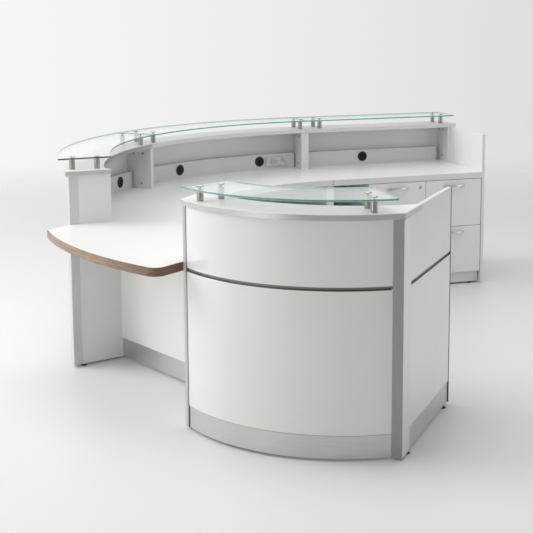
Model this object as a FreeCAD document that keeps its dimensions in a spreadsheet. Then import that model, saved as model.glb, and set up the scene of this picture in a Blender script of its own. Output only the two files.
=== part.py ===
import FreeCAD, Part
import math
import os
import re
import Sketcher
from FreeCAD import Placement, Rotation, Vector

# A service counter for a shop or a reception: three counter units along a quarter-round run (two curved,
# one straight with two drawer pedestals), a low counter at table height and a bow-fronted unit at its end.
# Plan frame of the run: the centre of the curved units, +X along the straight unit, +Y to the customers' side
# of it. The bow unit has a plan frame of its own at its front left corner, turned by bow_turn.
# The row's origin is on the floor under the middle of the whole counter.

SIZES = (
    # frame: where the run's centre and the bow unit's corner lie
    ("run_x", 404.34), ("run_y", -124.29), ("bow_x", -1471), ("bow_y", -936), ("bow_turn", 319.5),
    # heights above the floor
    ("desk_top", 740), ("desk_thickness", 38), ("riser_top", 1010), ("board_thickness", 25),
    ("groove_bottom", 702), ("groove_height", 16), ("kick_top", 108), ("kick_bottom", 13),
    ("foot_height", 10),
    # the curved run, radii from its centre and angles in degrees
    ("skin_radius", 1800), ("skin_thickness", 18), ("desk_radius", 1095), ("desk_setback", 4),
    ("board_inner", 1610), ("board_outer", 1815), ("glass_inner", 1577), ("glass_outer", 1848),
    ("unit_turn", 45), ("end_angle", 176.66), ("end_skew", 4), ("leg_skew", 18.5), ("joint_trim", 0.04),
    ("skin_end_trim", 0.95), ("leg_end_trim", 1.2), ("block_inner", 1587), ("fillet_start", 12),
    ("fillet_end", 44), ("kick_setback", 3), ("kick_thickness", 15), ("panel_gap", 2), ("rail_web", 3),
    ("rail_lap", 8), ("rail_nose", 7.5), ("rail_setback", 1),
    # gables, dividers and posts
    ("gable_thickness", 25), ("divider_thickness", 28), ("divider_setback", 5), ("gable_setback", 55),
    ("post_width", 50), ("rib_pitch", 5), ("rib_width", 2), ("rib_depth", 1.5), ("rib_count", 9),
    ("rib_start", 4),
    # the straight unit
    ("straight_length", 1057), ("end_splay", 3.13), ("end_thickness", 20), ("board_overhang", 20),
    # glass shelves and their standoffs
    ("glass_gap", 52), ("glass_thickness", 10), ("glass_end", 34), ("glass_right_inset", 12),
    ("post_inner", 1650), ("post_outer", 1775), ("post_radius", 14.5), ("stud_radius", 4),
    ("stud_clearance", 0.5), ("cap_radius", 16), ("cap_height", 4), ("post_turn", 2.4),
    ("post_edge", 115), ("post_right", 1006),
    # the bow-fronted unit
    ("bow_width", 980), ("bow_radius", 745), ("bow_depth", 720), ("bow_gable", 18), ("gable_nose", 8),
    ("trim_width", 4), ("corner_width", 45), ("corner_depth", 70), ("bow_overhang", 12),
    ("bow_riser_depth", 226), ("bow_board_arc", 738), ("trim_proud", 1.5), ("board_lap", 8),
    ("bow_glass_left", 10), ("bow_glass_right", 960), ("bow_glass_back_left", 102),
    ("bow_glass_back_right", 770), ("bow_glass_depth", 215), ("bow_glass_arc", 550),
    ("bow_glass_overhang", 20), ("bow_post_inner", 605), ("bow_post_outer", 708), ("bow_post_left", 34.2),
    ("bow_post_right", 31.3),
    # the low counter
    ("low_radius", 1925), ("low_end", 212.8), ("low_corner", 50), ("low_band", 4),
    ("low_panel_start", 283), ("low_panel_turn", -69.8), ("gable_length", 690),
    # cable trunking, outlets and sockets
    ("trunk_height", 100), ("trunk_depth", 43), ("trunk_wall", 3), ("trunk_groove", 14),
    ("trunk_groove_width", 3), ("trunk_groove_depth", 1.5), ("outlet_radius", 30), ("outlet_height", 55),
    ("outlet_one", 140.7), ("outlet_two", 120.6), ("outlet_three", 99.5), ("outlet_four", 462),
    ("collar_radius", 33), ("collar_proud", 3), ("collar_depth", 12), ("collar_wall", 7),
    ("collar_clearance", 0.3), ("trunk_end_gap", 35), ("socket_start", 92.9), ("socket_end", 98.1),
    ("socket_height", 60), ("socket_proud", 8), ("socket_lift", 20), ("socket_radius", 19),
    ("socket_recess", 6),
    # drawer pedestals under the straight unit
    ("pedestal_start", 241), ("pedestal_width", 397), ("pedestal_depth", 560), ("pedestal_wall", 16),
    ("back_wall", 8), ("plinth_height", 72), ("plinth_thickness", 16), ("plinth_setback", 12),
    ("under_desk", 0), ("front_thickness", 18), ("front_setback", 2), ("front_gap", 3),
    ("drawer_depth", 500), ("drawer_height", 220), ("drawer_wall", 12), ("drawer_floor", 8),
    ("drawer_lift", 25), ("slide_space", 13), ("slide_height", 45), ("slide_wall", 2),
    ("slide_clearance", 1), ("slide_lift", 60), ("slide_depth", 11), ("handle_span", 150),
    ("handle_reach", 30), ("handle_radius", 5), ("handle_bend", 14), ("handle_drop", 38),
    ("lock_radius", 8), ("lock_inset", 41), ("lock_proud", 2), ("lock_length", 24),
    ("lock_clearance", 0.3), ("cam_length", 18), ("cam_width", 8), ("cam_thickness", 3),
    ("keyway_width", 2), ("keyway_height", 9), ("keyway_depth", 6),
    # feet and edges
    ("foot_radius", 16), ("foot_neck", 7.5), ("rear_foot_radius", 14), ("foot_inset", 60),
    ("edge_ease", 1), ("glass_ease", 1.5),
)

doc = FreeCAD.newDocument("service_counter")
sheet = doc.addObject("Spreadsheet::Sheet", "sizes")
NAMES = {alias for alias, _ in SIZES}
subparts = []


def fill_sheet():
    """One row a size: its name, and its value in millimetres or degrees."""
    for row, (alias, number) in enumerate(SIZES, start=1):
        sheet.set(f"A{row}", alias)
        sheet.set(f"B{row}", str(number))
        sheet.setAlias(f"B{row}", alias)
    doc.recompute()


def linked(expression):
    """The expression with every size's name pointing at its cell."""
    def link(match):
        word = match.group()
        return "sizes." + word if word in NAMES else word
    return re.sub(r"[a-z_]+", link, str(expression))


def measure(expression):
    result = sheet.evalExpression(linked(expression))
    return float(getattr(result, "Value", result))


def bind(thing, **properties):
    """Binds each property to its expression; a double underscore stands for a dot."""
    for name, expression in properties.items():
        thing.setExpression(name.replace("__", "."), linked(expression))


def turned(x, y, turn):
    """The point (x, y) turned by an angle, as two expressions."""
    return f"(({x}) * cos({turn}) - ({y}) * sin({turn}))", f"(({x}) * sin({turn}) + ({y}) * cos({turn}))"


def polar(radius, angle):
    return f"(({radius}) * cos({angle}))", f"(({radius}) * sin({angle}))"


def place(thing, lift="0", x="0", y="0", turn="0", frame="run"):
    """Puts a piece at a point of the run's plan or the bow unit's, at a height and turned upright."""
    thing.Placement = Placement(Vector(0, 0, 0), Rotation(Vector(0, 0, 1), 1))
    if frame == "bow":
        x, y = turned(x, y, "bow_turn")
        x, y, turn = f"bow_x + {x}", f"bow_y + {y}", f"bow_turn + ({turn})"
    bind(thing, Placement__Base__x=f"run_x + {x}", Placement__Base__y=f"run_y + {y}", Placement__Base__z=lift,
         Placement__Rotation__Angle=turn)
    return thing


def keep(thing, label):
    """Marks an object as a finished sub-part, under its name."""
    thing.Label = label
    subparts.append(thing)
    return thing


def origin_plane(body, role):
    return next(plane for plane in body.Origin.OriginFeatures if plane.Role == role)


def arc_between(start, end, centre):
    """The shorter arc from start to end, and which of its ends is the start."""
    first = math.atan2(start.y - centre.y, start.x - centre.x)
    last = math.atan2(end.y - centre.y, end.x - centre.x)
    circle = Part.Circle(centre, Vector(0, 0, 1), start.distanceToPoint(centre))
    if (last - first) % (2 * math.pi) < math.pi:
        return Part.ArcOfCircle(circle, first, last), 1
    return Part.ArcOfCircle(circle, last, first), 2


def outline(body, name, corners, arcs=None, role="XY_Plane"):
    """A closed sketch whose corners are bound to the sheet. arcs gives, for the edge that leaves a corner,
    the radius and the centre of an arc."""
    arcs = arcs or {}
    sketch = body.newObject("Sketcher::SketchObject", name)
    sketch.AttachmentSupport = [(origin_plane(body, role), "")]
    sketch.MapMode = "FlatFace"
    points = [Vector(measure(x), measure(y), 0) for x, y in corners]
    starts = []
    for index, point in enumerate(points):
        end = points[(index + 1) % len(points)]
        if index in arcs:
            radius, x, y = arcs[index]
            edge, start_end = arc_between(point, end, Vector(measure(x), measure(y), 0))
            sketch.addGeometry(edge)
            fixed = sketch.addConstraint(Sketcher.Constraint("Radius", index, measure(radius)))
            sketch.renameConstraint(fixed, f"radius_{index}")
            bind(sketch, **{f"Constraints__radius_{index}": radius})
        else:
            start_end = 1
            sketch.addGeometry(Part.LineSegment(point, end))
        starts.append(start_end)
    for index, point in enumerate(points):
        following = (index + 1) % len(points)
        sketch.addConstraint(
            Sketcher.Constraint("Coincident", index, 3 - starts[index], following, starts[following]))
        across, up = corners[index]
        for axis, number, expression in (("X", point.x, across), ("Y", point.y, up)):
            fixed = sketch.addConstraint(
                Sketcher.Constraint(f"Distance{axis}", -1, 1, index, starts[index], number))
            name_of_size = f"corner_{index}_{axis.lower()}"
            sketch.renameConstraint(fixed, name_of_size)
            bind(sketch, **{f"Constraints__{name_of_size}": expression})
    return sketch


def eased(body, feature, ease):
    """Takes the sharpness off every edge of a board or a pane."""
    doc.recompute()
    chamfer = body.newObject("PartDesign::Chamfer", body.Name + "_ease")
    chamfer.Base = (feature, [""])
    chamfer.UseAllEdges = True
    bind(chamfer, Size=ease)
    body.Tip = chamfer


def slab(name, corners, thickness, arcs=None, ease=None, role="XY_Plane"):
    """A board of any outline."""
    body = doc.addObject("PartDesign::Body", name)
    pad = body.newObject("PartDesign::Pad", name + "_pad")
    pad.Profile = outline(body, name + "_outline", corners, arcs, role)
    bind(pad, Length=thickness)
    if ease:
        eased(body, pad, ease)
    return body


def bent(name, section, start, end, ease=None):
    """A section in the radius and height plane, turned about the vertical from one angle to another."""
    body = doc.addObject("PartDesign::Body", name)
    turn = body.newObject("PartDesign::Revolution", name + "_turn")
    turn.Profile = outline(body, name + "_section", section, role="XZ_Plane")
    turn.ReferenceAxis = (turn.Profile[0], ["V_Axis"])
    bind(turn, Angle=f"({end}) - ({start})")
    if ease:
        eased(body, turn, ease)
    return body


def rectangle(x_low, x_high, y_low, y_high):
    return [(x_low, y_low), (x_high, y_low), (x_high, y_high), (x_low, y_high)]


def box(name, x, y, z, length, width, height, frame="run", turn="0", middle=("0", "0")):
    """A block with its low corner at x, y, z, in a frame that stands at middle and is turned."""
    block = doc.addObject("Part::Box", name)
    bind(block, Length=length, Width=width, Height=height)
    x, y = turned(x, y, turn)
    return place(block, z, f"{middle[0]} + {x}", f"{middle[1]} + {y}", turn, frame)


def peg(name, x, y, z, radius, height, frame="run"):
    pin = doc.addObject("Part::Cylinder", name)
    bind(pin, Radius=radius, Height=height)
    return place(pin, z, x, y, "0", frame)


def level_peg(name, x, y, z, turn, radius, height):
    """A round bar that lies level and points along the plan angle turn."""
    pin = doc.addObject("Part::Cylinder", name)
    bind(pin, Radius=radius, Height=height)
    tilt = Rotation(Vector(0, 0, 1), measure(turn)) * Rotation(Vector(0, 1, 0), 90)
    pin.Placement = Placement(Vector(0, 0, 0), tilt)
    bind(pin, Placement__Base__x=f"run_x + {x}", Placement__Base__y=f"run_y + {y}", Placement__Base__z=z)
    return pin


def group(name, pieces):
    holder = doc.addObject("Part::Compound", name)
    holder.Links = pieces
    return holder


def joined(name, pieces):
    fuse = doc.addObject("Part::MultiFuse", name)
    fuse.Shapes = pieces
    return fuse


def less(name, base, tool):
    cut = doc.addObject("Part::Cut", name)
    cut.Base = base
    cut.Tool = tool
    return cut


# ---------------------------------------------------------------- shared lines of the plan

BOARD_UNDER = "(riser_top - board_thickness)"
DESK_UNDER = "(desk_top - desk_thickness)"
GLASS_UNDER = "(riser_top + glass_gap)"
SKIN_INNER = "(skin_radius - skin_thickness)"
DESK_OUTER = "(skin_radius - skin_thickness - desk_setback)"
RUN_END = "(end_angle - skin_end_trim)"
LEG_END = "(end_angle - leg_end_trim)"
END_X, END_Y = polar("skin_radius", "end_angle")
END_OFFSET = "(skin_radius * sin(end_angle - end_skew))"
BOW_MIDDLE = "(bow_width / 2)"
BOW_CENTRE = "sqrt(bow_radius ^ 2 - (bow_width / 2) ^ 2)"


def end_line(radius, inset="0"):
    """Where a circle about the run's centre meets the run's left end, or a line that far inside it."""
    offset = f"({END_OFFSET} + ({inset}))"
    return turned(f"(-sqrt(({radius}) ^ 2 - {offset} ^ 2))", offset, "end_skew")


def end_point(along, inset="0"):
    """A point on the run's left end: along it from its outer corner, and inside it."""
    x, y = turned(along, inset, "end_skew")
    return f"({END_X} + {x})", f"({END_Y} + {y})"


def leg_point(along, inset="0"):
    """A point on the leg under the run's left end: along it from its outer corner, and inside it."""
    x, y = turned(along, inset, "leg_skew")
    return f"({END_X} + {x})", f"({END_Y} + {y})"


def splayed(depth, inset="0"):
    """The x of the straight unit's right end at a depth, that far inside it."""
    return f"(straight_length + (({depth}) - desk_radius) * tan(end_splay) - ({inset}))"


def gable_point(along, inset="0"):
    """A point on the bow unit's left side in the run's plan: along it from the front, and outside it."""
    x, y = turned(f"-({inset})", along, "bow_turn")
    return f"(bow_x + {x})", f"(bow_y + {y})"


def bow_front(x, radius="bow_radius"):
    """How far the front lies at x in the bow unit's plan."""
    return f"({BOW_CENTRE} - sqrt(({radius}) ^ 2 - (({x}) - {BOW_MIDDLE}) ^ 2))"


def bow_angle(x, radius="bow_radius"):
    """The angle about the bow's centre at which the front passes x."""
    return f"(360 - acos((({x}) - {BOW_MIDDLE}) / ({radius})) / 1 deg)"


# ---------------------------------------------------------------- panels, rails and kick plates

def skin_section(radius, bottom, top):
    return rectangle(f"{radius} - skin_thickness", radius, bottom, top)


def rail_section(radius):
    """A flat web behind the two panels with a nose that shows between them."""
    inner = f"({radius} - skin_thickness - rail_web)"
    face = f"({radius} - skin_thickness)"
    groove_top = "(groove_bottom + groove_height)"
    return [(inner, "groove_bottom - rail_lap"), (face, "groove_bottom - rail_lap"),
            (face, f"{groove_top} - rail_nose"), (f"{radius} - rail_setback", f"{groove_top} - rail_nose"),
            (f"{radius} - rail_setback", f"{groove_top} - 0.5"), (face, f"{groove_top} - 0.5"),
            (face, f"{groove_top} + rail_lap"), (inner, f"{groove_top} + rail_lap")]


def kick_section(radius):
    outer = f"({radius} - kick_setback)"
    return rectangle(f"{outer} - kick_thickness", outer, "kick_bottom", "kick_top")


UPPER = ("groove_bottom + groove_height", BOARD_UNDER)
LOWER = ("kick_top + panel_gap", "groove_bottom")
CURVED = {"two": ("90 + joint_trim", "90 + unit_turn - joint_trim"),
          "one": ("90 + unit_turn + joint_trim", RUN_END)}


def run_panels():
    """The customers' side of the run: an upper and a lower panel on each unit."""
    for unit, (start, end) in CURVED.items():
        for part, (bottom, top) in (("upper", UPPER), ("lower", LOWER)):
            if (unit, part) == ("one", "lower"):
                end = LEG_END
            section = skin_section("skin_radius", bottom, top)
            panel = bent(f"{part}_panel_{unit}", section, start, end, "edge_ease")
            keep(place(panel, turn=start), f"{part}_panel_{unit}")
    for part, (bottom, top) in (("upper", UPPER), ("lower", LOWER)):
        corners = [("joint_trim * 30", SKIN_INNER), (splayed(SKIN_INNER, "end_thickness"), SKIN_INNER),
                   (splayed("skin_radius", "end_thickness"), "skin_radius"),
                   ("joint_trim * 30", "skin_radius")]
        panel = slab(f"{part}_panel_three", corners, f"({top}) - ({bottom})", ease="edge_ease")
        keep(place(panel, bottom), f"{part}_panel_three")


def straight_length_piece(name, section, depth):
    """The same section as the curved units have, drawn out along the straight unit."""
    body = doc.addObject("PartDesign::Body", name)
    pad = body.newObject("PartDesign::Pad", name + "_pad")
    pad.Profile = outline(body, name + "_section", section, role="XZ_Plane")
    bind(pad, Length=splayed(depth, "end_thickness + 0.2"))
    return place(body, turn="90")


def length_pieces(name, section, depth, end):
    """A section run along all three units."""
    pieces = []
    for unit, (start, stop) in CURVED.items():
        stop = end if unit == "one" else stop
        pieces.append(place(bent(f"{name}_{unit}", section, start, stop), turn=start))
    pieces.append(straight_length_piece(f"{name}_three", section, depth))
    return pieces


def groove_rails():
    """The rails that lie behind the gap between the upper and the lower panels."""
    rails = length_pieces("rail", rail_section("skin_radius"), f"{SKIN_INNER} - rail_web", LEG_END)
    rails.append(bow_bent("bow_front_rail", rail_section("bow_radius")))
    rails.append(along_bow_end("bow_end_rail", [(f"{x} - end_thickness + skin_thickness", z)
                                                for x, z in rail_section("bow_width")]))
    keep(group("groove_rails", rails), "groove_rails")


def kick_plates():
    plates = length_pieces("kick", kick_section("skin_radius"), SKIN_INNER, LEG_END)
    plates.append(bow_bent("bow_front_kick", kick_section("bow_radius")))
    plates.append(along_bow_end("bow_end_kick", kick_section("bow_width")))
    low = slab("low_kick", low_panel_corners("kick_setback", "kick_thickness"), "kick_top - kick_bottom")
    plates.append(place(low, "kick_bottom"))
    keep(group("kick_plates", plates), "kick_plates")


# ---------------------------------------------------------------- worktops, riser boards and glass

def ring_outline(inner, outer, inset="0", wide=None):
    """A curved board of unit one: round from its joint to the run's left end. A wide inner radius draws the
    board out at its end, over the gable."""
    joint = "(90 + unit_turn + joint_trim)"
    corners = [polar(inner, joint), polar(outer, joint), end_line(outer, inset)]
    if wide:
        corners += [end_line(wide, inset), end_line(wide, f"{inset} + fillet_start"),
                    end_line(inner, f"{inset} + fillet_end")]
    else:
        corners.append(end_line(inner, inset))
    return corners, {1: (outer, "0", "0"), len(corners) - 1: (inner, "0", "0")}


def quarter_outline(inner, outer):
    """A curved board of unit two, between its two joints."""
    first, last = "(90 + joint_trim)", "(90 + unit_turn - joint_trim)"
    corners = [polar(inner, first), polar(outer, first), polar(outer, last), polar(inner, last)]
    return corners, {1: (outer, "0", "0"), 3: (inner, "0", "0")}


def straight_outline(inner, outer, inset="0"):
    return [("joint_trim * 30", inner), (splayed(inner, inset), inner), (splayed(outer, inset), outer),
            ("joint_trim * 30", outer)]


def boards(name, inner, outer, thickness, lift, left_inset, right_inset, ease, wide=None):
    """The same board on each unit of the run, in three lengths. Gives back the three bodies."""
    made = []
    for unit, (corners, arcs) in (("one", ring_outline(inner, outer, left_inset, wide)),
                                  ("two", quarter_outline(inner, outer)),
                                  ("three", (straight_outline(inner, outer, right_inset), None))):
        board = slab(f"{name}_{unit}", corners, thickness, arcs, ease)
        made.append(place(board, lift))
    return made


def worktops():
    for board in boards("worktop", "desk_radius", DESK_OUTER, "desk_thickness", DESK_UNDER, "0",
                        "end_thickness + 0.5", "edge_ease"):
        keep(board, board.Name)


def riser_boards():
    for board in boards("riser_board", "board_inner", "board_outer", "board_thickness", BOARD_UNDER,
                        "-board_overhang / 2", "-board_overhang", "edge_ease", "block_inner - 2"):
        keep(board, board.Name)


RUN_POSTS = {
    "one": [(radius, angle) for angle in ("end_angle - post_turn", "90 + unit_turn + post_turn")
            for radius in ("post_inner", "post_outer")],
    "two": [(radius, angle) for angle in ("90 + unit_turn - post_turn", "90 + post_turn / 3")
            for radius in ("post_inner", "post_outer")],
}


def post_places():
    """Where the standoffs stand: for each glass, its frame and its four points."""
    places = {f"glass_{unit}": ("run", [polar(radius, angle) for radius, angle in posts])
              for unit, posts in RUN_POSTS.items()}
    places["glass_three"] = ("run", [(x, y) for x in ("post_edge", "post_right")
                                     for y in ("post_inner", "post_outer")])
    bow = []
    for angle in ("270 - bow_post_left", "270 + bow_post_right"):
        for radius in ("bow_post_inner", "bow_post_outer"):
            x, y = polar(radius, angle)
            bow.append((f"{BOW_MIDDLE} + {x}", f"{BOW_CENTRE} + {y}"))
    places["bow_glass"] = ("bow", bow)
    return places


def drilled(pane, name):
    """The pane with a hole for the stud of each of its standoffs."""
    frame, points = post_places()[name]
    drills = [peg(f"{name}_drill_{index}", x, y, f"{GLASS_UNDER} - 1", "stud_radius + stud_clearance",
                  "glass_thickness + 2", frame) for index, (x, y) in enumerate(points)]
    keep(less(name + "_shelf", pane, group(f"{name}_drills", drills)), name + "_shelf")


def glass_shelves():
    for pane in boards("glass", "glass_inner", "glass_outer", "glass_thickness", GLASS_UNDER, "glass_end",
                       "glass_right_inset", "glass_ease"):
        drilled(pane, pane.Name)


def standoffs():
    """Round posts on the riser boards, a stud through each pane, and a flat cap on top."""
    posts, caps = [], []
    for name, (frame, points) in post_places().items():
        for index, (x, y) in enumerate(points):
            post = peg(f"{name}_post_{index}", x, y, "riser_top", "post_radius", "glass_gap", frame)
            stud = peg(f"{name}_stud_{index}", x, y, GLASS_UNDER, "stud_radius", "glass_thickness", frame)
            posts.append(joined(f"{name}_standoff_{index}", [post, stud]))
            caps.append(peg(f"{name}_cap_{index}", x, y, f"{GLASS_UNDER} + glass_thickness", "cap_radius",
                            "cap_height", frame))
    keep(group("standoff_posts", posts), "standoff_posts")
    keep(group("standoff_caps", caps), "standoff_caps")


# ---------------------------------------------------------------- gables, dividers and ribbed posts

def radial_board(name, angle, inner, thickness, bottom, top, shift="-0.5", notched=False):
    """An upright board along a radius, its thickness shared about the joint by shift. A notched one
    leaves room at its top for the groove rail."""
    outer = f"sqrt({SKIN_INNER} ^ 2 - ({thickness}) ^ 2)"
    corners = rectangle(inner, outer, bottom, top)
    if notched:
        notch_x, notch_z = f"({SKIN_INNER} - rail_web - 1)", "(groove_bottom - rail_lap - 1)"
        corners[2:3] = [(outer, notch_z), (notch_x, notch_z), (notch_x, top)]
    board = slab(name, corners, thickness, role="XZ_Plane")
    return place(board, "0", *turned("0", f"({shift} + 1) * {thickness}", angle), angle)


def riser_dividers():
    """The boards between the worktops and the riser boards, at the joints and at the right end."""
    inner = "(board_inner + divider_setback)"
    keep(radial_board("riser_divider_one", "90 + unit_turn", inner, "divider_thickness", "desk_top",
                      BOARD_UNDER),
         "riser_divider_one")
    gables = [radial_board(f"riser_gable_{side}", "90", inner, "gable_thickness", "desk_top", BOARD_UNDER,
                           shift)
              for side, shift in (("middle_left", "0"), ("middle_right", "-1"))]
    corners = [(splayed(depth, inset), depth) for depth, inset in (
        (inner, "end_thickness + skin_thickness"), (inner, "end_thickness"),
        (SKIN_INNER, "end_thickness"), (SKIN_INNER, "end_thickness + skin_thickness"))]
    gables.append(place(slab("riser_gable_end", corners, f"{BOARD_UNDER} - desk_top"), "desk_top"))
    keep(group("riser_gables", gables), "riser_gables")


def support_gables():
    """The boards that carry the worktops at the two joints of the run."""
    inner = "(desk_radius + gable_setback)"
    gables = [radial_board("support_one", "90 + unit_turn", inner, "divider_thickness", "foot_height",
                           DESK_UNDER,
                           notched=True)]
    for side, shift in (("left", "0"), ("right", "-1")):
        gables.append(radial_board(f"support_two_{side}", "90", inner, "gable_thickness", "foot_height",
                                   DESK_UNDER, shift, notched=True))
    keep(group("support_gables", gables), "support_gables")


def ribbed_post(name, width, depth, height):
    """An extruded corner post: a solid bar with fine grooves up its face, which is at y 0."""
    body = doc.addObject("PartDesign::Body", name)
    pad = body.newObject("PartDesign::Pad", name + "_pad")
    pad.Profile = outline(body, name + "_section", rectangle("0", width, "0", depth))
    bind(pad, Length=height)
    doc.recompute()
    groove = body.newObject("PartDesign::Pocket", name + "_groove")
    groove.Profile = outline(body, name + "_groove_section",
                             rectangle("rib_start", "rib_start + rib_width", "0", "rib_depth"))
    groove.Type = "ThroughAll"
    groove.Reversed = True
    pattern = body.newObject("PartDesign::LinearPattern", name + "_grooves")
    pattern.Originals = [groove]
    pattern.Direction = (groove.Profile[0], ["H_Axis"])
    bind(pattern, Length="rib_pitch * (rib_count - 1)", Occurrences="rib_count")
    body.Tip = pattern
    return body


def left_end():
    """The run's left end: a ribbed post and a gable below the worktop, and the same above it."""
    inner_x, inner_y = end_line("block_inner")
    short = f"sqrt(({inner_x} - {END_X}) ^ 2 + ({inner_y} - {END_Y}) ^ 2)"
    posts = []
    for part, bottom, top, reach, skew in (("leg", "foot_height", DESK_UNDER, "gable_length", "leg_skew"),
                                           ("riser_end", "desk_top", BOARD_UNDER, short, "end_skew")):
        post = ribbed_post(f"{part}_post", "post_width", "gable_thickness", f"({top}) - ({bottom})")
        posts.append(place(post, bottom, END_X, END_Y, skew))
        gable = box(f"{part}_gable", "post_width", "0", bottom, f"({reach}) - post_width", "gable_thickness",
                    f"({top}) - ({bottom})", turn=skew, middle=(END_X, END_Y))
        keep(gable, f"{part}_gable")
    keep(group("left_end_posts", posts), "left_end_posts")


def right_end():
    """The tall panel that closes the straight unit."""
    corners = [(splayed("desk_radius", "end_thickness"), "desk_radius"),
               (splayed("desk_radius"), "desk_radius"), (splayed("skin_radius"), "skin_radius"),
               (splayed("skin_radius", "end_thickness"), "skin_radius")]
    panel = slab("end_panel_right", corners, f"{BOARD_UNDER} - foot_height", ease="edge_ease")
    keep(place(panel, "foot_height"), "end_panel_right")


# ---------------------------------------------------------------- the bow-fronted unit

BOW_RIGHT = "(bow_width - end_thickness)"
BOW_SKIN = (bow_angle("bow_gable + trim_width"), bow_angle("bow_width - corner_width"))


def bow_bent(name, section, ease=None):
    start, end = BOW_SKIN
    body = bent(name, section, start, end, ease)
    return place(body, "0", BOW_MIDDLE, BOW_CENTRE, start, "bow")


def bow_front_panels():
    for part, (bottom, top) in (("upper", UPPER), ("lower", LOWER)):
        panel = bow_bent(f"bow_{part}_panel", skin_section("bow_radius", bottom, top), "edge_ease")
        keep(panel, f"bow_{part}_panel")


def upright(name, corners, thickness, x, ease=None):
    """A board that stands in the bow unit's depth, its outline drawn in depth and height."""
    body = slab(name, corners, thickness, ease=ease, role="YZ_Plane")
    return place(body, "0", x, "0", "0", "bow")


def bow_sides():
    """A gable on the left and a panelled end on the right, both carrying the worktop and the riser board."""
    gable = [("-gable_nose", "foot_height"), ("bow_depth", "foot_height"), ("bow_depth", "desk_top"),
             ("bow_riser_depth", "desk_top"), ("bow_riser_depth", BOARD_UNDER),
             ("-gable_nose", BOARD_UNDER)]
    keep(upright("bow_left_gable", gable, "bow_gable", "0"), "bow_left_gable")
    low, high = UPPER
    upper = [("corner_depth", low), ("bow_depth", low), ("bow_depth", "riser_top"),
             ("bow_riser_depth + 1", "riser_top"), ("bow_riser_depth + 1", high), ("corner_depth", high)]
    keep(upright("bow_end_upper_panel", upper, "end_thickness", BOW_RIGHT, "edge_ease"),
         "bow_end_upper_panel")
    low, high = LOWER
    lower = rectangle("corner_depth", "bow_depth", low, high)
    keep(upright("bow_end_lower_panel", lower, "end_thickness", BOW_RIGHT, "edge_ease"),
         "bow_end_lower_panel")


def along_bow_end(name, section):
    """A section in radius and height, drawn along the bow unit's right side."""
    body = doc.addObject("PartDesign::Body", name)
    pad = body.newObject("PartDesign::Pad", name + "_pad")
    pad.Profile = outline(body, name + "_section", section, role="XZ_Plane")
    pad.Reversed = True
    bind(pad, Length="bow_depth - corner_depth")
    return place(body, "0", "0", "corner_depth", "0", "bow")


def bow_trims():
    """The corner post and the two dark edge profiles."""
    left, front = "(bow_width - corner_width)", bow_front("bow_width - corner_width")
    post = ribbed_post("bow_corner_post", "corner_width", f"corner_depth - ({front})",
                       f"{BOARD_UNDER} - foot_height")
    keep(place(post, "foot_height", left, front, "0", "bow"), "bow_corner_post")
    trim_front = bow_front("bow_gable")
    trims = [box("bow_left_trim", "bow_gable", f"{trim_front} - trim_proud", "foot_height", "trim_width",
                 "skin_thickness + trim_proud", f"{BOARD_UNDER} - foot_height", "bow"),
             box("bow_end_trim", f"{BOW_RIGHT}", "bow_depth", "foot_height",
                 "end_thickness + trim_proud", "trim_width", "riser_top - foot_height", "bow")]
    keep(group("bow_edge_trims", trims), "bow_edge_trims")


def bow_tops():
    """The bow unit's worktop, riser board and glass."""
    desk_radius = "(bow_radius - skin_thickness - rail_web - 1)"
    left, right = "bow_gable", "(bow_width - end_thickness - rail_web - 1)"
    post_back = "(corner_depth + 1)"
    post_left = "(bow_width - corner_width - 1)"
    clear = "(bow_gable + trim_width + 4)"
    behind = f"({bow_front('bow_gable')} + skin_thickness + 0.5)"
    corners = [(left, behind), (clear, behind), (clear, bow_front(clear, desk_radius)),
               (post_left, bow_front(post_left, desk_radius)),
               (post_left, post_back), (right, post_back), (right, "bow_depth"), (left, "bow_depth")]
    arcs = {2: (desk_radius, BOW_MIDDLE, BOW_CENTRE)}
    desk = slab("bow_worktop", corners, "desk_thickness", arcs, "edge_ease")
    keep(place(desk, DESK_UNDER, frame="bow"), "bow_worktop")
    outer = "(bow_radius + bow_overhang)"
    board_centre = "(bow_riser_depth + sqrt(bow_board_arc ^ 2 - (bow_width / 2) ^ 2))"
    corners = [("-board_lap", bow_front("-board_lap", outer)), ("bow_width", bow_front("bow_width", outer)),
               ("bow_width", "bow_riser_depth"), ("0", "bow_riser_depth"), ("-board_lap", "bow_riser_depth")]
    arcs = {0: (outer, BOW_MIDDLE, BOW_CENTRE), 2: ("bow_board_arc", BOW_MIDDLE, board_centre)}
    board = slab("bow_riser_board", corners, "board_thickness", arcs, "edge_ease")
    keep(place(board, BOARD_UNDER, frame="bow"), "bow_riser_board")
    outer = "(bow_radius + bow_glass_overhang)"
    back_middle = "((bow_glass_back_left + bow_glass_back_right) / 2)"
    back_half = "((bow_glass_back_right - bow_glass_back_left) / 2)"
    corners = [("bow_glass_left", bow_front("bow_glass_left", outer)),
               ("bow_glass_right", bow_front("bow_glass_right", outer)),
               ("bow_glass_back_right", "bow_glass_depth"), ("bow_glass_back_left", "bow_glass_depth")]
    back_centre = f"(bow_glass_depth + sqrt(bow_glass_arc ^ 2 - {back_half} ^ 2))"
    arcs = {0: (outer, BOW_MIDDLE, BOW_CENTRE), 2: ("bow_glass_arc", back_middle, back_centre)}
    pane = place(slab("bow_glass", corners, "glass_thickness", arcs, "glass_ease"), GLASS_UNDER, frame="bow")
    drilled(pane, "bow_glass")


# ---------------------------------------------------------------- the low counter

CORNER_ANGLE = "(low_end * 1 deg - asin(low_corner / (low_radius - low_corner)))"
CORNER_CENTRE = polar("low_radius - low_corner", CORNER_ANGLE)


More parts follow.
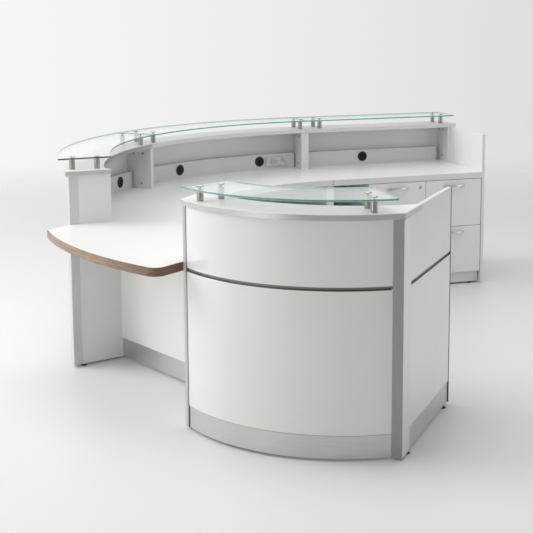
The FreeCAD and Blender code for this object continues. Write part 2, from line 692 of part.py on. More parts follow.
def low_edge_points(inset):
    """The low counter's front at an inset: its start, where the round corner begins and ends, and its end."""
    corner_x, corner_y = CORNER_CENTRE
    reach_x, reach_y = polar(f"low_corner - ({inset})", "low_end - 270")
    end_x, end_y = gable_point("-gable_nose", "0.5")
    shift_x, shift_y = polar(inset, "low_end + 90")
    return [polar(f"low_radius - ({inset})", "180"), polar(f"low_radius - ({inset})", CORNER_ANGLE),
            (f"({corner_x} + {reach_x})", f"({corner_y} + {reach_y})"),
            (f"({end_x} - {shift_x})", f"({end_y} - {shift_y})")]


def gable_meet(radius):
    """Where a circle about the run's centre meets the bow unit's left side."""
    dot = "(bow_x * cos(bow_turn + 90) + bow_y * sin(bow_turn + 90))"
    along = f"(-{dot} - sqrt({dot} ^ 2 - bow_x ^ 2 - bow_y ^ 2 + ({radius}) ^ 2))"
    return gable_point(along)


def low_counter():
    """A worktop at table height that carries the curve on, with an edge band round its front."""
    front = low_edge_points("low_band")
    corners = [end_line("desk_radius"), end_point("0"), *front, gable_point("0", "0.5"),
               gable_meet("desk_radius")]
    inner = "(low_radius - low_band)"
    arcs = {2: (inner, "0", "0"), 3: ("low_corner - low_band", *CORNER_CENTRE), 7: ("desk_radius", "0", "0")}
    keep(place(slab("low_worktop", corners, "desk_thickness", arcs), DESK_UNDER), "low_worktop")
    back = low_edge_points("0")
    corners = [*front, *reversed(back)]
    arcs = {0: (inner, "0", "0"), 1: ("low_corner - low_band", *CORNER_CENTRE),
            5: ("low_corner", *CORNER_CENTRE), 6: ("low_radius", "0", "0")}
    keep(place(slab("low_edge_band", corners, "desk_thickness", arcs), DESK_UNDER), "low_edge_band")


def low_panel_corners(inset, thickness):
    """A board from the run's left end to the bow unit's left side, set back from the panel line."""
    corners = []
    for depth in (inset, f"({inset}) + ({thickness})"):
        start_x, start_y = leg_point(f"low_panel_start + ({depth}) / sin(leg_skew - low_panel_turn)")
        corners.append((start_x, start_y))
        along = (f"((({start_x} - bow_x) * sin(low_panel_turn) - ({start_y} - bow_y) * cos(low_panel_turn))"
                 f" / sin(low_panel_turn - bow_turn - 90))")
        corners.append(gable_point(along))
    return [corners[0], corners[1], corners[3], corners[2]]


def low_front():
    bottom, top = "kick_top + panel_gap", DESK_UNDER
    panel = slab("low_front_panel", low_panel_corners("0", "skin_thickness"), f"{top} - ({bottom})")
    keep(place(panel, bottom), "low_front_panel")


# ---------------------------------------------------------------- cable trunking, outlets and sockets

TRUNK_INNER = "(skin_radius - skin_thickness - trunk_depth)"
TRUNK_SPANS = {"one": ("90 + unit_turn + 1", "end_angle - 2.2"), "two": ("91.1", "90 + unit_turn - 0.7")}


def trunk_section():
    """An angle: a front wall with the groove where its cover clips on, and a lid. It is closed behind by the
    panel and below by the worktop."""
    top, groove = "(desk_top + trunk_height)", "(desk_top + trunk_groove)"
    face, floor = TRUNK_INNER, f"({TRUNK_INNER} + trunk_groove_depth)"
    return [(face, "desk_top"), (f"{face} + trunk_wall", "desk_top"),
            (f"{face} + trunk_wall", f"{top} - trunk_wall"), (SKIN_INNER, f"{top} - trunk_wall"),
            (SKIN_INNER, top), (face, top), (face, f"{groove} + trunk_groove_width"),
            (floor, f"{groove} + trunk_groove_width"), (floor, groove), (face, groove)]


def outlet_places():
    """The cable outlets: the plan point of each in front of the trunking's face, and the way it faces. On a
    curved face the collar's rim touches and its middle stands off a little."""
    places = []
    for angle in ("outlet_one", "outlet_two", "outlet_three"):
        places.append((*polar(f"sqrt({TRUNK_INNER} ^ 2 - collar_radius ^ 2)", angle), f"{angle} + 180"))
    places.append(("outlet_four", TRUNK_INNER, "270"))
    return places


def outlet_peg(name, place_, radius, start, length):
    """A bar through an outlet, from start behind the trunking's face towards the room."""
    x, y, turn = place_
    back_x, back_y = polar(start, f"{turn} + 180")
    return level_peg(name, f"({x} + {back_x})", f"({y} + {back_y})", "desk_top + outlet_height", turn, radius,
                     length)


def trunking():
    covers = [place(bent(f"trunk_{unit}", trunk_section(), start, end), turn=start)
              for unit, (start, end) in TRUNK_SPANS.items()]
    third = doc.addObject("PartDesign::Body", "trunk_three")
    pad = third.newObject("PartDesign::Pad", "trunk_three_pad")
    pad.Profile = outline(third, "trunk_three_section", trunk_section(), role="XZ_Plane")
    bind(pad, Length=f"{splayed(TRUNK_INNER)} - end_thickness - skin_thickness - gable_thickness"
                     " - trunk_end_gap")
    covers.append(place(third, "0", "gable_thickness + 0.5", "0", "90"))
    holes = [outlet_peg(f"outlet_hole_{index}", spot, "outlet_radius", "10", "20")
             for index, spot in enumerate(outlet_places())]
    keep(less("cable_trunking", group("trunk_covers", covers), group("outlet_holes", holes)),
         "cable_trunking")


def cable_outlets():
    """Black collars, each a flange on the face with a sleeve through the hole."""
    collars = []
    for index, spot in enumerate(outlet_places()):
        flange = outlet_peg(f"collar_flange_{index}", spot, "collar_radius", "0", "collar_proud")
        sleeve = outlet_peg(f"collar_sleeve_{index}", spot, "outlet_radius - collar_clearance",
                            "collar_depth",
                            "collar_depth + collar_proud / 2")
        bore = outlet_peg(f"collar_bore_{index}", spot, "outlet_radius - collar_wall", "collar_depth + 1",
                          "collar_depth + collar_proud + 2")
        collars.append(less(f"collar_{index}", joined(f"collar_body_{index}", [flange, sleeve]), bore))
    keep(group("cable_outlets", collars), "cable_outlets")


def power_sockets():
    """A plate with three round sockets on the second unit's trunking."""
    section = rectangle(f"{TRUNK_INNER} - socket_proud", TRUNK_INNER, "desk_top + socket_lift",
                        "desk_top + socket_lift + socket_height")
    plate = place(bent("socket_plate", section, "socket_start", "socket_end", "edge_ease"),
                  turn="socket_start")
    recesses = []
    for index in range(3):
        angle = f"(socket_start + (socket_end - socket_start) * {2 * index + 1} / 6)"
        face = f"({TRUNK_INNER} - socket_proud + socket_recess)"
        recesses.append(level_peg(f"socket_{index}", *polar(face, angle),
                                  "desk_top + socket_lift + socket_height / 2", f"{angle} + 180",
                                  "socket_radius", "socket_recess + 5"))
    keep(less("power_sockets", plate, group("socket_recesses", recesses)), "power_sockets")


# ---------------------------------------------------------------- drawer pedestals

FRONT_FACE = "(desk_radius + front_setback)"
FRONT_BACK = "(desk_radius + front_setback + front_thickness)"
PEDESTAL_TOP = f"({DESK_UNDER} - under_desk)"
PEDESTAL_BOTTOM = "(foot_height + plinth_height)"
FRONT_HEIGHT = f"(({PEDESTAL_TOP} - {PEDESTAL_BOTTOM} - front_gap * 3) / 2)"
PEDESTALS = {"left": "pedestal_start", "right": "(pedestal_start + pedestal_width)"}
DRAWERS = {"one": ("left", 1), "two": ("left", 0), "three": ("right", 1), "four": ("right", 0)}


def front_bottom(level):
    return f"({PEDESTAL_BOTTOM} + front_gap + {level} * ({FRONT_HEIGHT} + front_gap))"


def pedestal(side):
    start = PEDESTALS[side]
    outer = box(f"carcass_block_{side}", start, FRONT_BACK, PEDESTAL_BOTTOM, "pedestal_width",
                "pedestal_depth",
                f"{PEDESTAL_TOP} - {PEDESTAL_BOTTOM}")
    inner = box(f"carcass_hollow_{side}", f"{start} + pedestal_wall", f"{FRONT_BACK} - 1",
                f"{PEDESTAL_BOTTOM} + pedestal_wall", "pedestal_width - 2 * pedestal_wall",
                "pedestal_depth + 1 - back_wall", f"{PEDESTAL_TOP} - {PEDESTAL_BOTTOM} - 2 * pedestal_wall")
    plinth = box(f"plinth_{side}", start, f"{FRONT_BACK} + plinth_setback", "foot_height", "pedestal_width",
                 "plinth_thickness", "plinth_height")
    keep(group(f"pedestal_{side}", [less(f"carcass_{side}", outer, inner), plinth]), f"pedestal_{side}")


def slide_rails():
    """The fixed channels, one each side of every drawer."""
    channels = []
    for name, (side, level) in DRAWERS.items():
        for hand in ("left", "right"):
            section = [("0", "0"), ("slide_depth", "0"), ("slide_depth", "slide_wall"),
                       ("slide_wall", "slide_wall"), ("slide_wall", "slide_height - slide_wall"),
                       ("slide_depth", "slide_height - slide_wall"), ("slide_depth", "slide_height"),
                       ("0", "slide_height")]
            if hand == "right":
                section = [(f"-({x})", z) for x, z in section]
            wall = "pedestal_wall" if hand == "left" else "pedestal_width - pedestal_wall"
            channel = slab(f"channel_{name}_{hand}", section, "drawer_depth - 5", role="XZ_Plane")
            channel.Tip.Reversed = True
            channels.append(place(channel, f"{front_bottom(level)} + slide_lift",
                                  f"{PEDESTALS[side]} + {wall}", f"{FRONT_BACK} + 2"))
    keep(group("slide_channels", channels), "slide_channels")


def drawer(name):
    """A drawer: its front, its box, the pair of runners on its sides, and a bow handle."""
    side, level = DRAWERS[name]
    start, bottom = PEDESTALS[side], front_bottom(level)
    front = slab(f"drawer_board_{name}", rectangle("0", "pedestal_width - front_gap", "0", "front_thickness"),
                 FRONT_HEIGHT, ease="edge_ease")
    place(front, bottom, f"{start} + front_gap / 2", FRONT_FACE)
    lock_x = f"({start} + pedestal_width - lock_inset)"
    lock_z = f"({bottom} + {FRONT_HEIGHT} - handle_drop)"
    if name == "one":
        hole = level_peg("lock_hole", lock_x, f"({FRONT_FACE} - 1)", lock_z, "90",
                         "lock_radius + lock_clearance", "front_thickness + 2")
        front = less("drawer_board_bored", front, hole)
        lock_barrel(lock_x, lock_z)
    keep(front, f"drawer_front_{name}")
    margin = "(pedestal_wall + slide_space)"
    outer = box(f"drawer_block_{name}", f"{start} + {margin}", FRONT_BACK, f"{bottom} + drawer_lift",
                f"pedestal_width - 2 * {margin}", "drawer_depth", "drawer_height")
    inner = box(f"drawer_hollow_{name}", f"{start} + {margin} + drawer_wall", f"{FRONT_BACK} + drawer_wall",
                f"{bottom} + drawer_lift + drawer_floor", f"pedestal_width - 2 * {margin} - 2 * drawer_wall",
                "drawer_depth - 2 * drawer_wall", "drawer_height")
    pieces = [less(f"drawer_shell_{name}", outer, inner)]
    width = "(slide_space - slide_wall - slide_clearance)"
    for hand, x in (("left", f"{start} + pedestal_wall + slide_wall + slide_clearance"),
                    ("right", f"{start} + pedestal_width - {margin}")):
        pieces.append(box(f"runner_{name}_{hand}", x, f"{FRONT_BACK} + 2",
                          f"{bottom} + slide_lift + slide_wall + slide_clearance", width,
                          "drawer_depth - 10", "slide_height - 2 * (slide_wall + slide_clearance)"))
    keep(group(f"drawer_box_{name}", pieces), f"drawer_box_{name}")
    keep(place(bow_handle(f"handle_{name}"), lock_z, f"{start} + pedestal_width / 2", FRONT_FACE),
         f"handle_{name}")


def bow_handle(name):
    """A round bar bent into a bow: two legs, two bends and a grip, its feet at y 0."""
    body = doc.addObject("PartDesign::Body", name)
    half, reach, bend = "(handle_span / 2)", "handle_reach", "handle_bend"
    path = body.newObject("Sketcher::SketchObject", name + "_path")
    path.AttachmentSupport = [(origin_plane(body, "XY_Plane"), "")]
    path.MapMode = "FlatFace"
    span, out, turn = measure(half), measure(reach), measure(bend)
    path.addGeometry(Part.LineSegment(Vector(-span, 0, 0), Vector(-span, turn - out, 0)))
    path.addGeometry(Part.ArcOfCircle(Part.Circle(Vector(turn - span, turn - out, 0), Vector(0, 0, 1), turn),
                                      math.pi, 1.5 * math.pi))
    path.addGeometry(Part.LineSegment(Vector(turn - span, -out, 0), Vector(span - turn, -out, 0)))
    path.addGeometry(Part.ArcOfCircle(Part.Circle(Vector(span - turn, turn - out, 0), Vector(0, 0, 1), turn),
                                      1.5 * math.pi, 2 * math.pi))
    path.addGeometry(Part.LineSegment(Vector(span, turn - out, 0), Vector(span, 0, 0)))
    for first, second in (((0, 2), (1, 1)), ((1, 2), (2, 1)), ((2, 2), (3, 1)), ((3, 2), (4, 1))):
        path.addConstraint(Sketcher.Constraint("Tangent", *first, *second))
    fixed = (("start_x", ("DistanceX", -1, 1, 0, 1), -span, f"-{half}"),
             ("start_y", ("DistanceY", -1, 1, 0, 1), 0, None),
             ("end_x", ("DistanceX", -1, 1, 4, 2), span, half),
             ("end_y", ("DistanceY", -1, 1, 4, 2), 0, None),
             ("bend_left", ("Radius", 1), turn, bend), ("bend_right", ("Radius", 3), turn, bend),
             ("reach", ("DistanceY", -1, 1, 2, 1), -out, f"-{reach}"))
    for label, what, number, expression in fixed:
        path.renameConstraint(path.addConstraint(Sketcher.Constraint(*what, number)), label)
        if expression:
            bind(path, **{f"Constraints__{label}": expression})
    path.addConstraint(Sketcher.Constraint("Vertical", 0))
    path.addConstraint(Sketcher.Constraint("Horizontal", 2))
    ring = body.newObject("Sketcher::SketchObject", name + "_ring")
    ring.AttachmentSupport = [(origin_plane(body, "XZ_Plane"), "")]
    ring.MapMode = "FlatFace"
    ring.addGeometry(Part.Circle(Vector(-span, 0, 0), Vector(0, 0, 1), measure("handle_radius")))
    size = Sketcher.Constraint("Radius", 0, measure("handle_radius"))
    ring.renameConstraint(ring.addConstraint(size), "ring_size")
    centre = Sketcher.Constraint("DistanceX", -1, 1, 0, 3, -span)
    ring.renameConstraint(ring.addConstraint(centre), "centre_x")
    ring.addConstraint(Sketcher.Constraint("DistanceY", -1, 1, 0, 3, 0))
    bind(ring, Constraints__ring_size="handle_radius", Constraints__centre_x=f"-{half}")
    pipe = body.newObject("PartDesign::AdditivePipe", name + "_pipe")
    pipe.Profile = ring
    pipe.Spine = (path, [])
    return body


def lock_barrel(x, z):
    """A cylinder lock through the top drawer's front, with a keyway and a cam behind."""
    barrel = level_peg("lock_cylinder", x, f"({FRONT_FACE} + lock_length - lock_proud)", z, "270",
                       "lock_radius",
                       "lock_length")
    cam_back = f"{FRONT_FACE} + lock_length - lock_proud - cam_thickness"
    cam = box("lock_cam", f"{x} - cam_width / 2", cam_back, z, "cam_width", "cam_thickness", "cam_length")
    keyway = box("lock_keyway", f"{x} - keyway_width / 2", f"{FRONT_FACE} - lock_proud - 1",
                 f"{z} - keyway_height / 2", "keyway_width", "keyway_depth", "keyway_height")
    keep(less("lock_barrel", joined("lock_body", [barrel, cam]), keyway), "lock_barrel")


# ---------------------------------------------------------------- feet

def levelling_feet():
    """A tapered foot under each end of every board that stands on the floor."""
    spots = []
    for along in ("foot_inset", "gable_length - foot_inset"):
        spots.append(("run", *leg_point(along, "gable_thickness / 2")))
    for radius in ("desk_radius + gable_setback + foot_inset", "skin_radius - foot_inset"):
        spots.append(("run", *polar(radius, "90 + unit_turn")))
        spots.append(("run", *polar(radius, "90")))
        x, y = splayed(radius, "end_thickness / 2"), radius
        spots.append(("run", x, y))
    for along in ("foot_inset", "bow_depth - foot_inset"):
        spots.append(("bow", "bow_gable / 2", along))
        spots.append(("bow", "bow_width - end_thickness / 2", along))
    for x in ("pedestal_start + foot_inset", "pedestal_start + 2 * pedestal_width - foot_inset"):
        spots.append(("run", x, f"{FRONT_BACK} + plinth_setback + plinth_thickness / 2"))
    feet = []
    for index, (frame, x, y) in enumerate(spots):
        foot = doc.addObject("Part::Cone", f"foot_{index}")
        bind(foot, Radius1="foot_radius", Radius2="foot_neck", Height="foot_height")
        feet.append(place(foot, "0", x, y, "0", frame))
    for index in range(4):
        side = "left" if index < 2 else "right"
        x = "foot_inset" if index % 2 else "pedestal_width - foot_inset"
        feet.append(peg(f"rear_foot_{index}", f"{PEDESTALS[side]} + {x}",
                        f"{FRONT_BACK} + pedestal_depth - foot_inset", "0", "rear_foot_radius",
                        PEDESTAL_BOTTOM))
    keep(group("levelling_feet", feet), "levelling_feet")


# ---------------------------------------------------------------- build, check and write

def check():
    for thing in doc.Objects:
        if {"Invalid", "Error"} & set(thing.State):
            raise RuntimeError(f"{thing.Label} failed: {thing.State}")
    for piece in subparts:
        shape = piece.Shape
        if shape.isNull() or not shape.isValid() or not shape.Solids:
            raise RuntimeError(f"{piece.Label} has no valid solid")


def write():
    os.makedirs("parts", exist_ok=True)
    for piece in subparts:
        piece.Shape.exportStep(f"parts/{piece.Label}.step")


def build():
    fill_sheet()
    run_panels()
    groove_rails()
    kick_plates()
    worktops()
    riser_boards()
    glass_shelves()
    riser_dividers()
    support_gables()
    left_end()
    right_end()
    bow_front_panels()
    bow_sides()
    bow_trims()
    bow_tops()
    low_counter()
    low_front()
    standoffs()
    trunking()
    cable_outlets()
    power_sockets()
    for side in PEDESTALS:
        pedestal(side)
    slide_rails()
    for name in DRAWERS:
        drawer(name)
    levelling_feet()
    doc.recompute()
    check()
    write()


build()
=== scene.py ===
"""The looks of a service counter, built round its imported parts."""

import math

import bpy
from bpy.props import FloatProperty, FloatVectorProperty, PointerProperty
from mathutils import Matrix, Vector


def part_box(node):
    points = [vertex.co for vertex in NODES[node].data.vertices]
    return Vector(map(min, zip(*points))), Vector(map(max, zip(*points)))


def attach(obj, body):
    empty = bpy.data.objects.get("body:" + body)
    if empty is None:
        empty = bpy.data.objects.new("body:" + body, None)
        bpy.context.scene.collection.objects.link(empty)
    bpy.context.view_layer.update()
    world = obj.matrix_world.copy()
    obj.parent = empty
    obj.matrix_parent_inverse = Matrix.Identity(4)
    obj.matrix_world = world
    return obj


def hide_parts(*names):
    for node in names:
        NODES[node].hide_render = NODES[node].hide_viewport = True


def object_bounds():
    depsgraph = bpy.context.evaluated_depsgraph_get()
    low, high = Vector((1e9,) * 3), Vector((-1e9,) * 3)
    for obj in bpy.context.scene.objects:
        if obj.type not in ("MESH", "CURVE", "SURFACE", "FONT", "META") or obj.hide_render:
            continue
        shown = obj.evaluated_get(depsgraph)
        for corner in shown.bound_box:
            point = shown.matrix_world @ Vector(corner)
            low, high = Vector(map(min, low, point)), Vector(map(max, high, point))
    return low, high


bl_info = {
    "name": "Service counter looks",
    "version": (1, 0, 0),
    "blender": (4, 5, 0),
    "location": "View3D > Sidebar > Counter",
    "description": "Finishes, fittings, light and camera for a curved service counter",
    "category": "Object",
}

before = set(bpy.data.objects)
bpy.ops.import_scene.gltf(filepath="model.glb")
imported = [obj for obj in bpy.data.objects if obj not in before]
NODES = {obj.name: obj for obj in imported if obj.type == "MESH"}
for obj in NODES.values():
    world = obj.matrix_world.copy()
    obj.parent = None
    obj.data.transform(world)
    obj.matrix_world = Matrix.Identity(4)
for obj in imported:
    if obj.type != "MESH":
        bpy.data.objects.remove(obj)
CAD_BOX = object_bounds()
ROOT = "counter"
DRAWERS = ("one", "two", "three", "four")
UNITS = ("one", "two", "three")

# where the curved run's middle stands on the floor
RUN = Vector((0.40434, -0.12429, 0.0))

# the way, on plan, that the near unit's straight corner faces; the corner post's faces that look
# this way are painted in shade
BOW_FRONT = (-0.649, -0.760)

# the near ends of the glass lie left of this
GLASS_END_X = -1.15

STUD_RADIUS = 0.0040
LOCK_RADIUS = 0.0080
GROMMET_RIBS = 8
TOWARDS_STAFF = math.radians(270)

# each softbox: its name, its width, its place, where it is aimed, and the setting of its power
SOFTBOXES = (
    ("left softbox", 4.5, (-6.6, 2.4, 4.6), (-0.9, -0.5, 0.2), "left_light"),
    ("right softbox", 4.0, (4.8, -1.6, 1.4), (0.0, -0.8, 0.7), "right_light"),
    ("front softbox", 3.0, (-6.2, -3.2, 1.5), (-1.2, -0.2, 0.4), "front_light"),
    ("overhead softbox", 2.8, (-0.4, -0.9, 4.6), (-0.2, 1.0, 0.8), "top_light"),
)


def on_radius(radius, angle, beside, height):
    """A point beside a radius of the curved run."""
    turn = math.radians(angle)
    return RUN + Vector((radius * math.cos(turn) - beside * math.sin(turn),
                         radius * math.sin(turn) + beside * math.cos(turn), height))


# the gables' screw caps: the gable's angle, how far its face is beside that radius, how much the
# face is splayed, and each cap's radius and height
CAP_ROWS = ((135.0, 0.014, 0.0, ((1.736, 0.952), (1.670, 0.952), (1.684, 0.772))),
            (90.0, 0.025, 0.0, ((1.728, 0.958), (1.662, 0.958), (1.680, 0.776))),
            (90.0, -0.9591, 3.13, ((1.765, 0.960), (1.698, 0.958), (1.709, 0.780))))
SCREW_CAPS = [(on_radius(radius, angle, beside - math.tan(math.radians(splay)) * radius, height),
               math.radians(angle + 90 - splay))
              for angle, beside, splay, spots in CAP_ROWS for radius, height in spots]


# ---------------------------------------------------------------- shader maths


class Value:
    """A number or colour in a shader: a socket whose sums and products add Math nodes."""

    def __init__(self, shader, socket):
        self.shader = shader
        self.socket = socket

    def _maths(self, operation, *values, clamp=False):
        return self.shader.node("ShaderNodeMath", {"operation": operation, "use_clamp": clamp},
                                *values)

    def __add__(self, other):
        return self._maths("ADD", self, other)

    def __radd__(self, other):
        return self._maths("ADD", other, self)

    def __sub__(self, other):
        return self._maths("SUBTRACT", self, other)

    def __rsub__(self, other):
        return self._maths("SUBTRACT", other, self)

    def __mul__(self, other):
        return self._maths("MULTIPLY", self, other)

    def __rmul__(self, other):
        return self._maths("MULTIPLY", other, self)

    def __lt__(self, other):
        return self._maths("LESS_THAN", self, other)

    def clamped(self):
        return self._maths("ADD", self, 0.0, clamp=True)

    def absolute(self):
        return self._maths("ABSOLUTE", self)

    def power(self, other):
        return self._maths("POWER", self, other)

    def biggest(self, other):
        return self._maths("MAXIMUM", self, other)

    def fade(self, low, high):
        """0 below low, 1 above high, smooth between."""
        return self.shader.node("ShaderNodeMapRange", {"interpolation_type": "SMOOTHSTEP"},
                                self, low, high, 0.0, 1.0)


class Shader:
    """One material and its nodes."""

    def __init__(self, name, **fixed):
        """Makes a material whose fixed values are set straight on the surface's sockets."""
        self.material = bpy.data.materials.new(name)
        self.material.use_nodes = True
        self.tree = self.material.node_tree
        self.surface = self.tree.nodes["Principled BSDF"]
        for socket, value in fixed.items():
            self.surface.inputs[socket.replace("_", " ")].default_value = value
        self.place = self.node("ShaderNodeTexCoord", {}, output="Object")
        self.x, self.y, self.z = self.parts(self.place)

    def node(self, kind, settings, *values, output=0, **named):
        """Adds a node: first its settings, then its inputs in order or by name. Gives an output."""
        node = self.tree.nodes.new(kind)
        for name, value in settings.items():
            setattr(node, name, value)
        pairs = list(enumerate(values)) + [(key.replace("_", " "), v) for key, v in named.items()]
        for key, value in pairs:
            if isinstance(value, Value):
                self.tree.links.new(value.socket, node.inputs[key])
            elif value is not None:
                node.inputs[key].default_value = value
        return Value(self, node.outputs[output])

    def parts(self, vector):
        split = self.node("ShaderNodeSeparateXYZ", {}, vector)
        outputs = split.socket.node.outputs
        return [Value(self, outputs[axis]) for axis in ("X", "Y", "Z")]

    def noise(self, scale, detail=4.0, roughness=0.5, vector=None, stretch=None):
        vector = vector or self.place
        if stretch:
            vector = self.node("ShaderNodeMapping", {}, vector, Scale=stretch)
        return self.node("ShaderNodeTexNoise", {}, Vector=vector, Scale=scale, Detail=detail,
                         Roughness=roughness)

    def speckle(self, scale, vector=None):
        return self.node("ShaderNodeTexVoronoi", {"feature": "F1"}, Vector=vector or self.place,
                         Scale=scale)

    def mixed(self, amount, first, second):
        """The first colour where amount is 0 and the second where it is 1."""
        mix = self.tree.nodes.new("ShaderNodeMix")
        mix.data_type = "RGBA"
        for key, value in ((0, amount), (6, first), (7, second)):
            if isinstance(value, Value):
                self.tree.links.new(value.socket, mix.inputs[key])
            elif isinstance(value, (int, float)):
                mix.inputs[key].default_value = value
            else:
                mix.inputs[key].default_value = (*value, 1)
        return Value(self, mix.outputs[2])

    def normal_parts(self):
        return self.parts(self.node("ShaderNodeNewGeometry", {}, output="Normal"))

    def feed(self, **values):
        for socket, value in values.items():
            self.tree.links.new(value.socket, self.surface.inputs[socket.replace("_", " ")])

    def bump(self, height, distance, strength=1.0):
        self.feed(Normal=self.node("ShaderNodeBump", {}, Strength=strength, Distance=distance,
                                   Height=height))


class RoomShader(Shader):
    """The room's light and its nodes."""

    def __init__(self, name):
        self.world = bpy.data.worlds.new(name)
        self.world.use_nodes = True
        self.tree = self.world.node_tree
        self.surface = self.tree.nodes["Background"]
        self.place = self.node("ShaderNodeTexCoord", {}, output="Generated")
        self.x, self.y, self.z = self.parts(self.place)


# ---------------------------------------------------------------- finishes


def shade(colour, factor):
    return tuple(min(1.0, part * factor) for part in colour)


def gloss_laminate(name, colour, roughness=0.16, coat=0.55):
    """High gloss laminate: a clear top coat over a board, with slight orange peel and fine dust."""
    s = Shader(name, Coat_Weight=coat, Coat_Roughness=0.05, IOR=1.5)
    cloud = s.noise(1.6, 3.0)
    fine = s.noise(420.0, 2.0)
    tint = s.mixed(cloud.fade(0.35, 0.65), shade(colour, 0.985), shade(colour, 1.01))
    near_floor = 1 - s.z.fade(0.02, 0.30)
    dust = (s.noise(38.0, 5.0).fade(0.45, 0.8) * near_floor * 0.35).clamped()
    s.feed(Base_Color=s.mixed(dust, tint, shade(colour, 0.90)),
           Roughness=(roughness + cloud * 0.05 + fine * 0.03 + dust * 0.2).clamped())
    s.bump(s.noise(55.0, 2.0) * 0.7 + fine * 0.3, 0.00006)
    return s.material


def matt_laminate(name, colour, roughness=0.45):
    """Matt laminate: a fine pearl texture with a little cloud in its tone."""
    s = Shader(name, IOR=1.48)
    grain = s.noise(900.0, 3.0)
    cloud = s.noise(2.2, 4.0)
    speck = s.speckle(700.0).fade(0.25, 0.45)
    tone = s.mixed((cloud * 0.6 + grain * 0.4).fade(0.3, 0.7),
                   shade(colour, 0.975), shade(colour, 1.01))
    s.feed(Base_Color=s.mixed((1 - speck) * 0.10, tone, shade(colour, 0.86)),
           Roughness=(roughness + grain * 0.12 + cloud * 0.04).clamped())
    s.bump(grain * 0.6 + speck * 0.4, 0.00008)
    return s.material


def worktop_laminate(name, colour, edge_colour, metal=0.0):
    """Laminate with a plain or aluminium edge band on its upright faces and a fine glue line."""
    s = Shader(name, IOR=1.5, Coat_Weight=0.12, Coat_Roughness=0.2)
    _, _, up = s.normal_parts()
    level = up.absolute().fade(0.35, 0.65)
    glue = 1 - (up.absolute() - 0.5).absolute().fade(0.0, 0.35)
    grain = s.noise(650.0, 3.0)
    cloud = s.noise(1.8, 4.0)
    pores = s.speckle(520.0).fade(0.2, 0.5)
    top = s.mixed((cloud * 0.5 + grain * 0.5).fade(0.3, 0.7),
                  shade(colour, 0.97), shade(colour, 1.015))
    top = s.mixed((1 - pores) * 0.08, top, shade(colour, 0.84))
    streak = s.noise(14.0, 4.0, stretch=(1.0, 1.0, 30.0))
    band = s.mixed(streak.fade(0.3, 0.7), shade(edge_colour, 0.92), shade(edge_colour, 1.05))
    tone = s.mixed(level, band, top)
    s.feed(Base_Color=s.mixed(glue * 0.25, tone, shade(edge_colour, 0.6)),
           Roughness=(level * 0.12 + grain * 0.10 + 0.26 + streak * 0.05).clamped())
    if metal:
        s.feed(Metallic=((1 - level) * metal).clamped())
    s.bump(grain * 0.5 + pores * 0.5, 0.00007)
    return s.material


def anodised(name, colour, brushed=(1.0, 1.0, 60.0), roughness=0.30, metallic=0.85, painted_shade_way=None):
    """Silver anodised aluminium: drawn lines along its length and a soft sheen. The faces that look
    one given way, a direction on plan, are painted in shade, darker than their metal, and all other
    faces get a painted highlight, lighter than it."""
    s = Shader(name, IOR=1.5, Metallic=metallic)
    drawn = s.noise(60.0, 5.0, 0.6, stretch=brushed)
    wide = s.noise(7.0, 3.0, 0.5, stretch=brushed)
    tone = s.mixed((drawn * 0.65 + wide * 0.35).fade(0.3, 0.7),
                   shade(colour, 0.86), shade(colour, 1.08))
    if painted_shade_way:
        x, y, _ = s.normal_parts()
        # painted shade on the faces that look the given way, and a painted highlight 1.25 times
        # lighter on all other faces
        shade_facing = (x * painted_shade_way[0] + y * painted_shade_way[1]).fade(0.35, 0.85)
        dark = s.mixed(drawn.fade(0.3, 0.7), shade(colour, 0.46), shade(colour, 0.66))
        tone = s.mixed(shade_facing, shade(colour, 1.25), dark)
    s.feed(Base_Color=tone, Roughness=(roughness + drawn * 0.14 + wide * 0.05).clamped())
    s.bump(drawn, 0.00005)
    return s.material


def brushed_steel(name, colour, top=1.0):
    """Turned stainless steel: fine rings round the axis, and faces that look up painted lighter or
    darker by the factor top, a painted reflection of the light overhead.
    """
    s = Shader(name, Metallic=1.0, IOR=2.2)
    _, _, up = s.normal_parts()
    # faces that look up: a painted reflection, their colour scaled by top
    level = up.fade(0.6, 0.9)
    rings = s.noise(900.0, 4.0, 0.6, stretch=(0.06, 0.06, 3.0))
    tone = s.mixed(rings.fade(0.3, 0.7), shade(colour, 0.88), shade(colour, 1.06))
    s.feed(Base_Color=s.mixed(level, tone, shade(colour, top)),
           Roughness=(rings * 0.16 + 0.20).clamped())
    s.bump(rings, 0.00003)
    return s.material


def moulded_plastic(name, colour, roughness=0.42):
    """Moulded plastic with a fine spark-eroded grain."""
    s = Shader(name, IOR=1.46)
    grain = s.noise(1500.0, 3.0)
    wide = s.noise(30.0, 4.0)
    s.feed(Base_Color=s.mixed(wide.fade(0.35, 0.7), colour, shade(colour, 1.5)),
           Roughness=(roughness + grain * 0.16 + wide * 0.06).clamped())
    s.bump(grain, 0.00006)
    return s.material


def polished_glass(name, edge_colour, face_colour, end_colour, end_x):
    """Clear glass: nearly colourless through its faces, sea green through its polished edges and
    almost black at the end left of end_x that faces forwards, down the length of the pane."""
    s = Shader(name, IOR=1.5, Roughness=0.02, Coat_Weight=0.3, Coat_Roughness=0.02)
    _, forward, up = s.normal_parts()
    edge = 1 - up.absolute().fade(0.25, 0.85)
    ripple = s.noise(9.0, 3.0)
    flaws = s.noise(70.0, 3.0, stretch=(1.0, 1.0, 3.0))
    green = s.mixed(ripple.fade(0.3, 0.7), shade(edge_colour, 0.88), shade(edge_colour, 1.15))
    green = s.mixed(flaws.fade(0.55, 0.75), green, shade(edge_colour, 1.7))
    end = edge * (forward * -1).fade(0.80, 0.95) * (s.x < end_x)
    far = edge * forward.fade(-0.05, 0.25)
    s.feed(Base_Color=s.mixed(edge, face_colour, s.mixed(end, green, end_colour)),
           Alpha=(edge * 0.58 - far * 0.52 + 0.36 + ripple * 0.03).clamped(),
           Roughness=(edge * 0.12 + 0.03 + s.noise(60.0, 3.0) * 0.03).clamped())
    return s.material


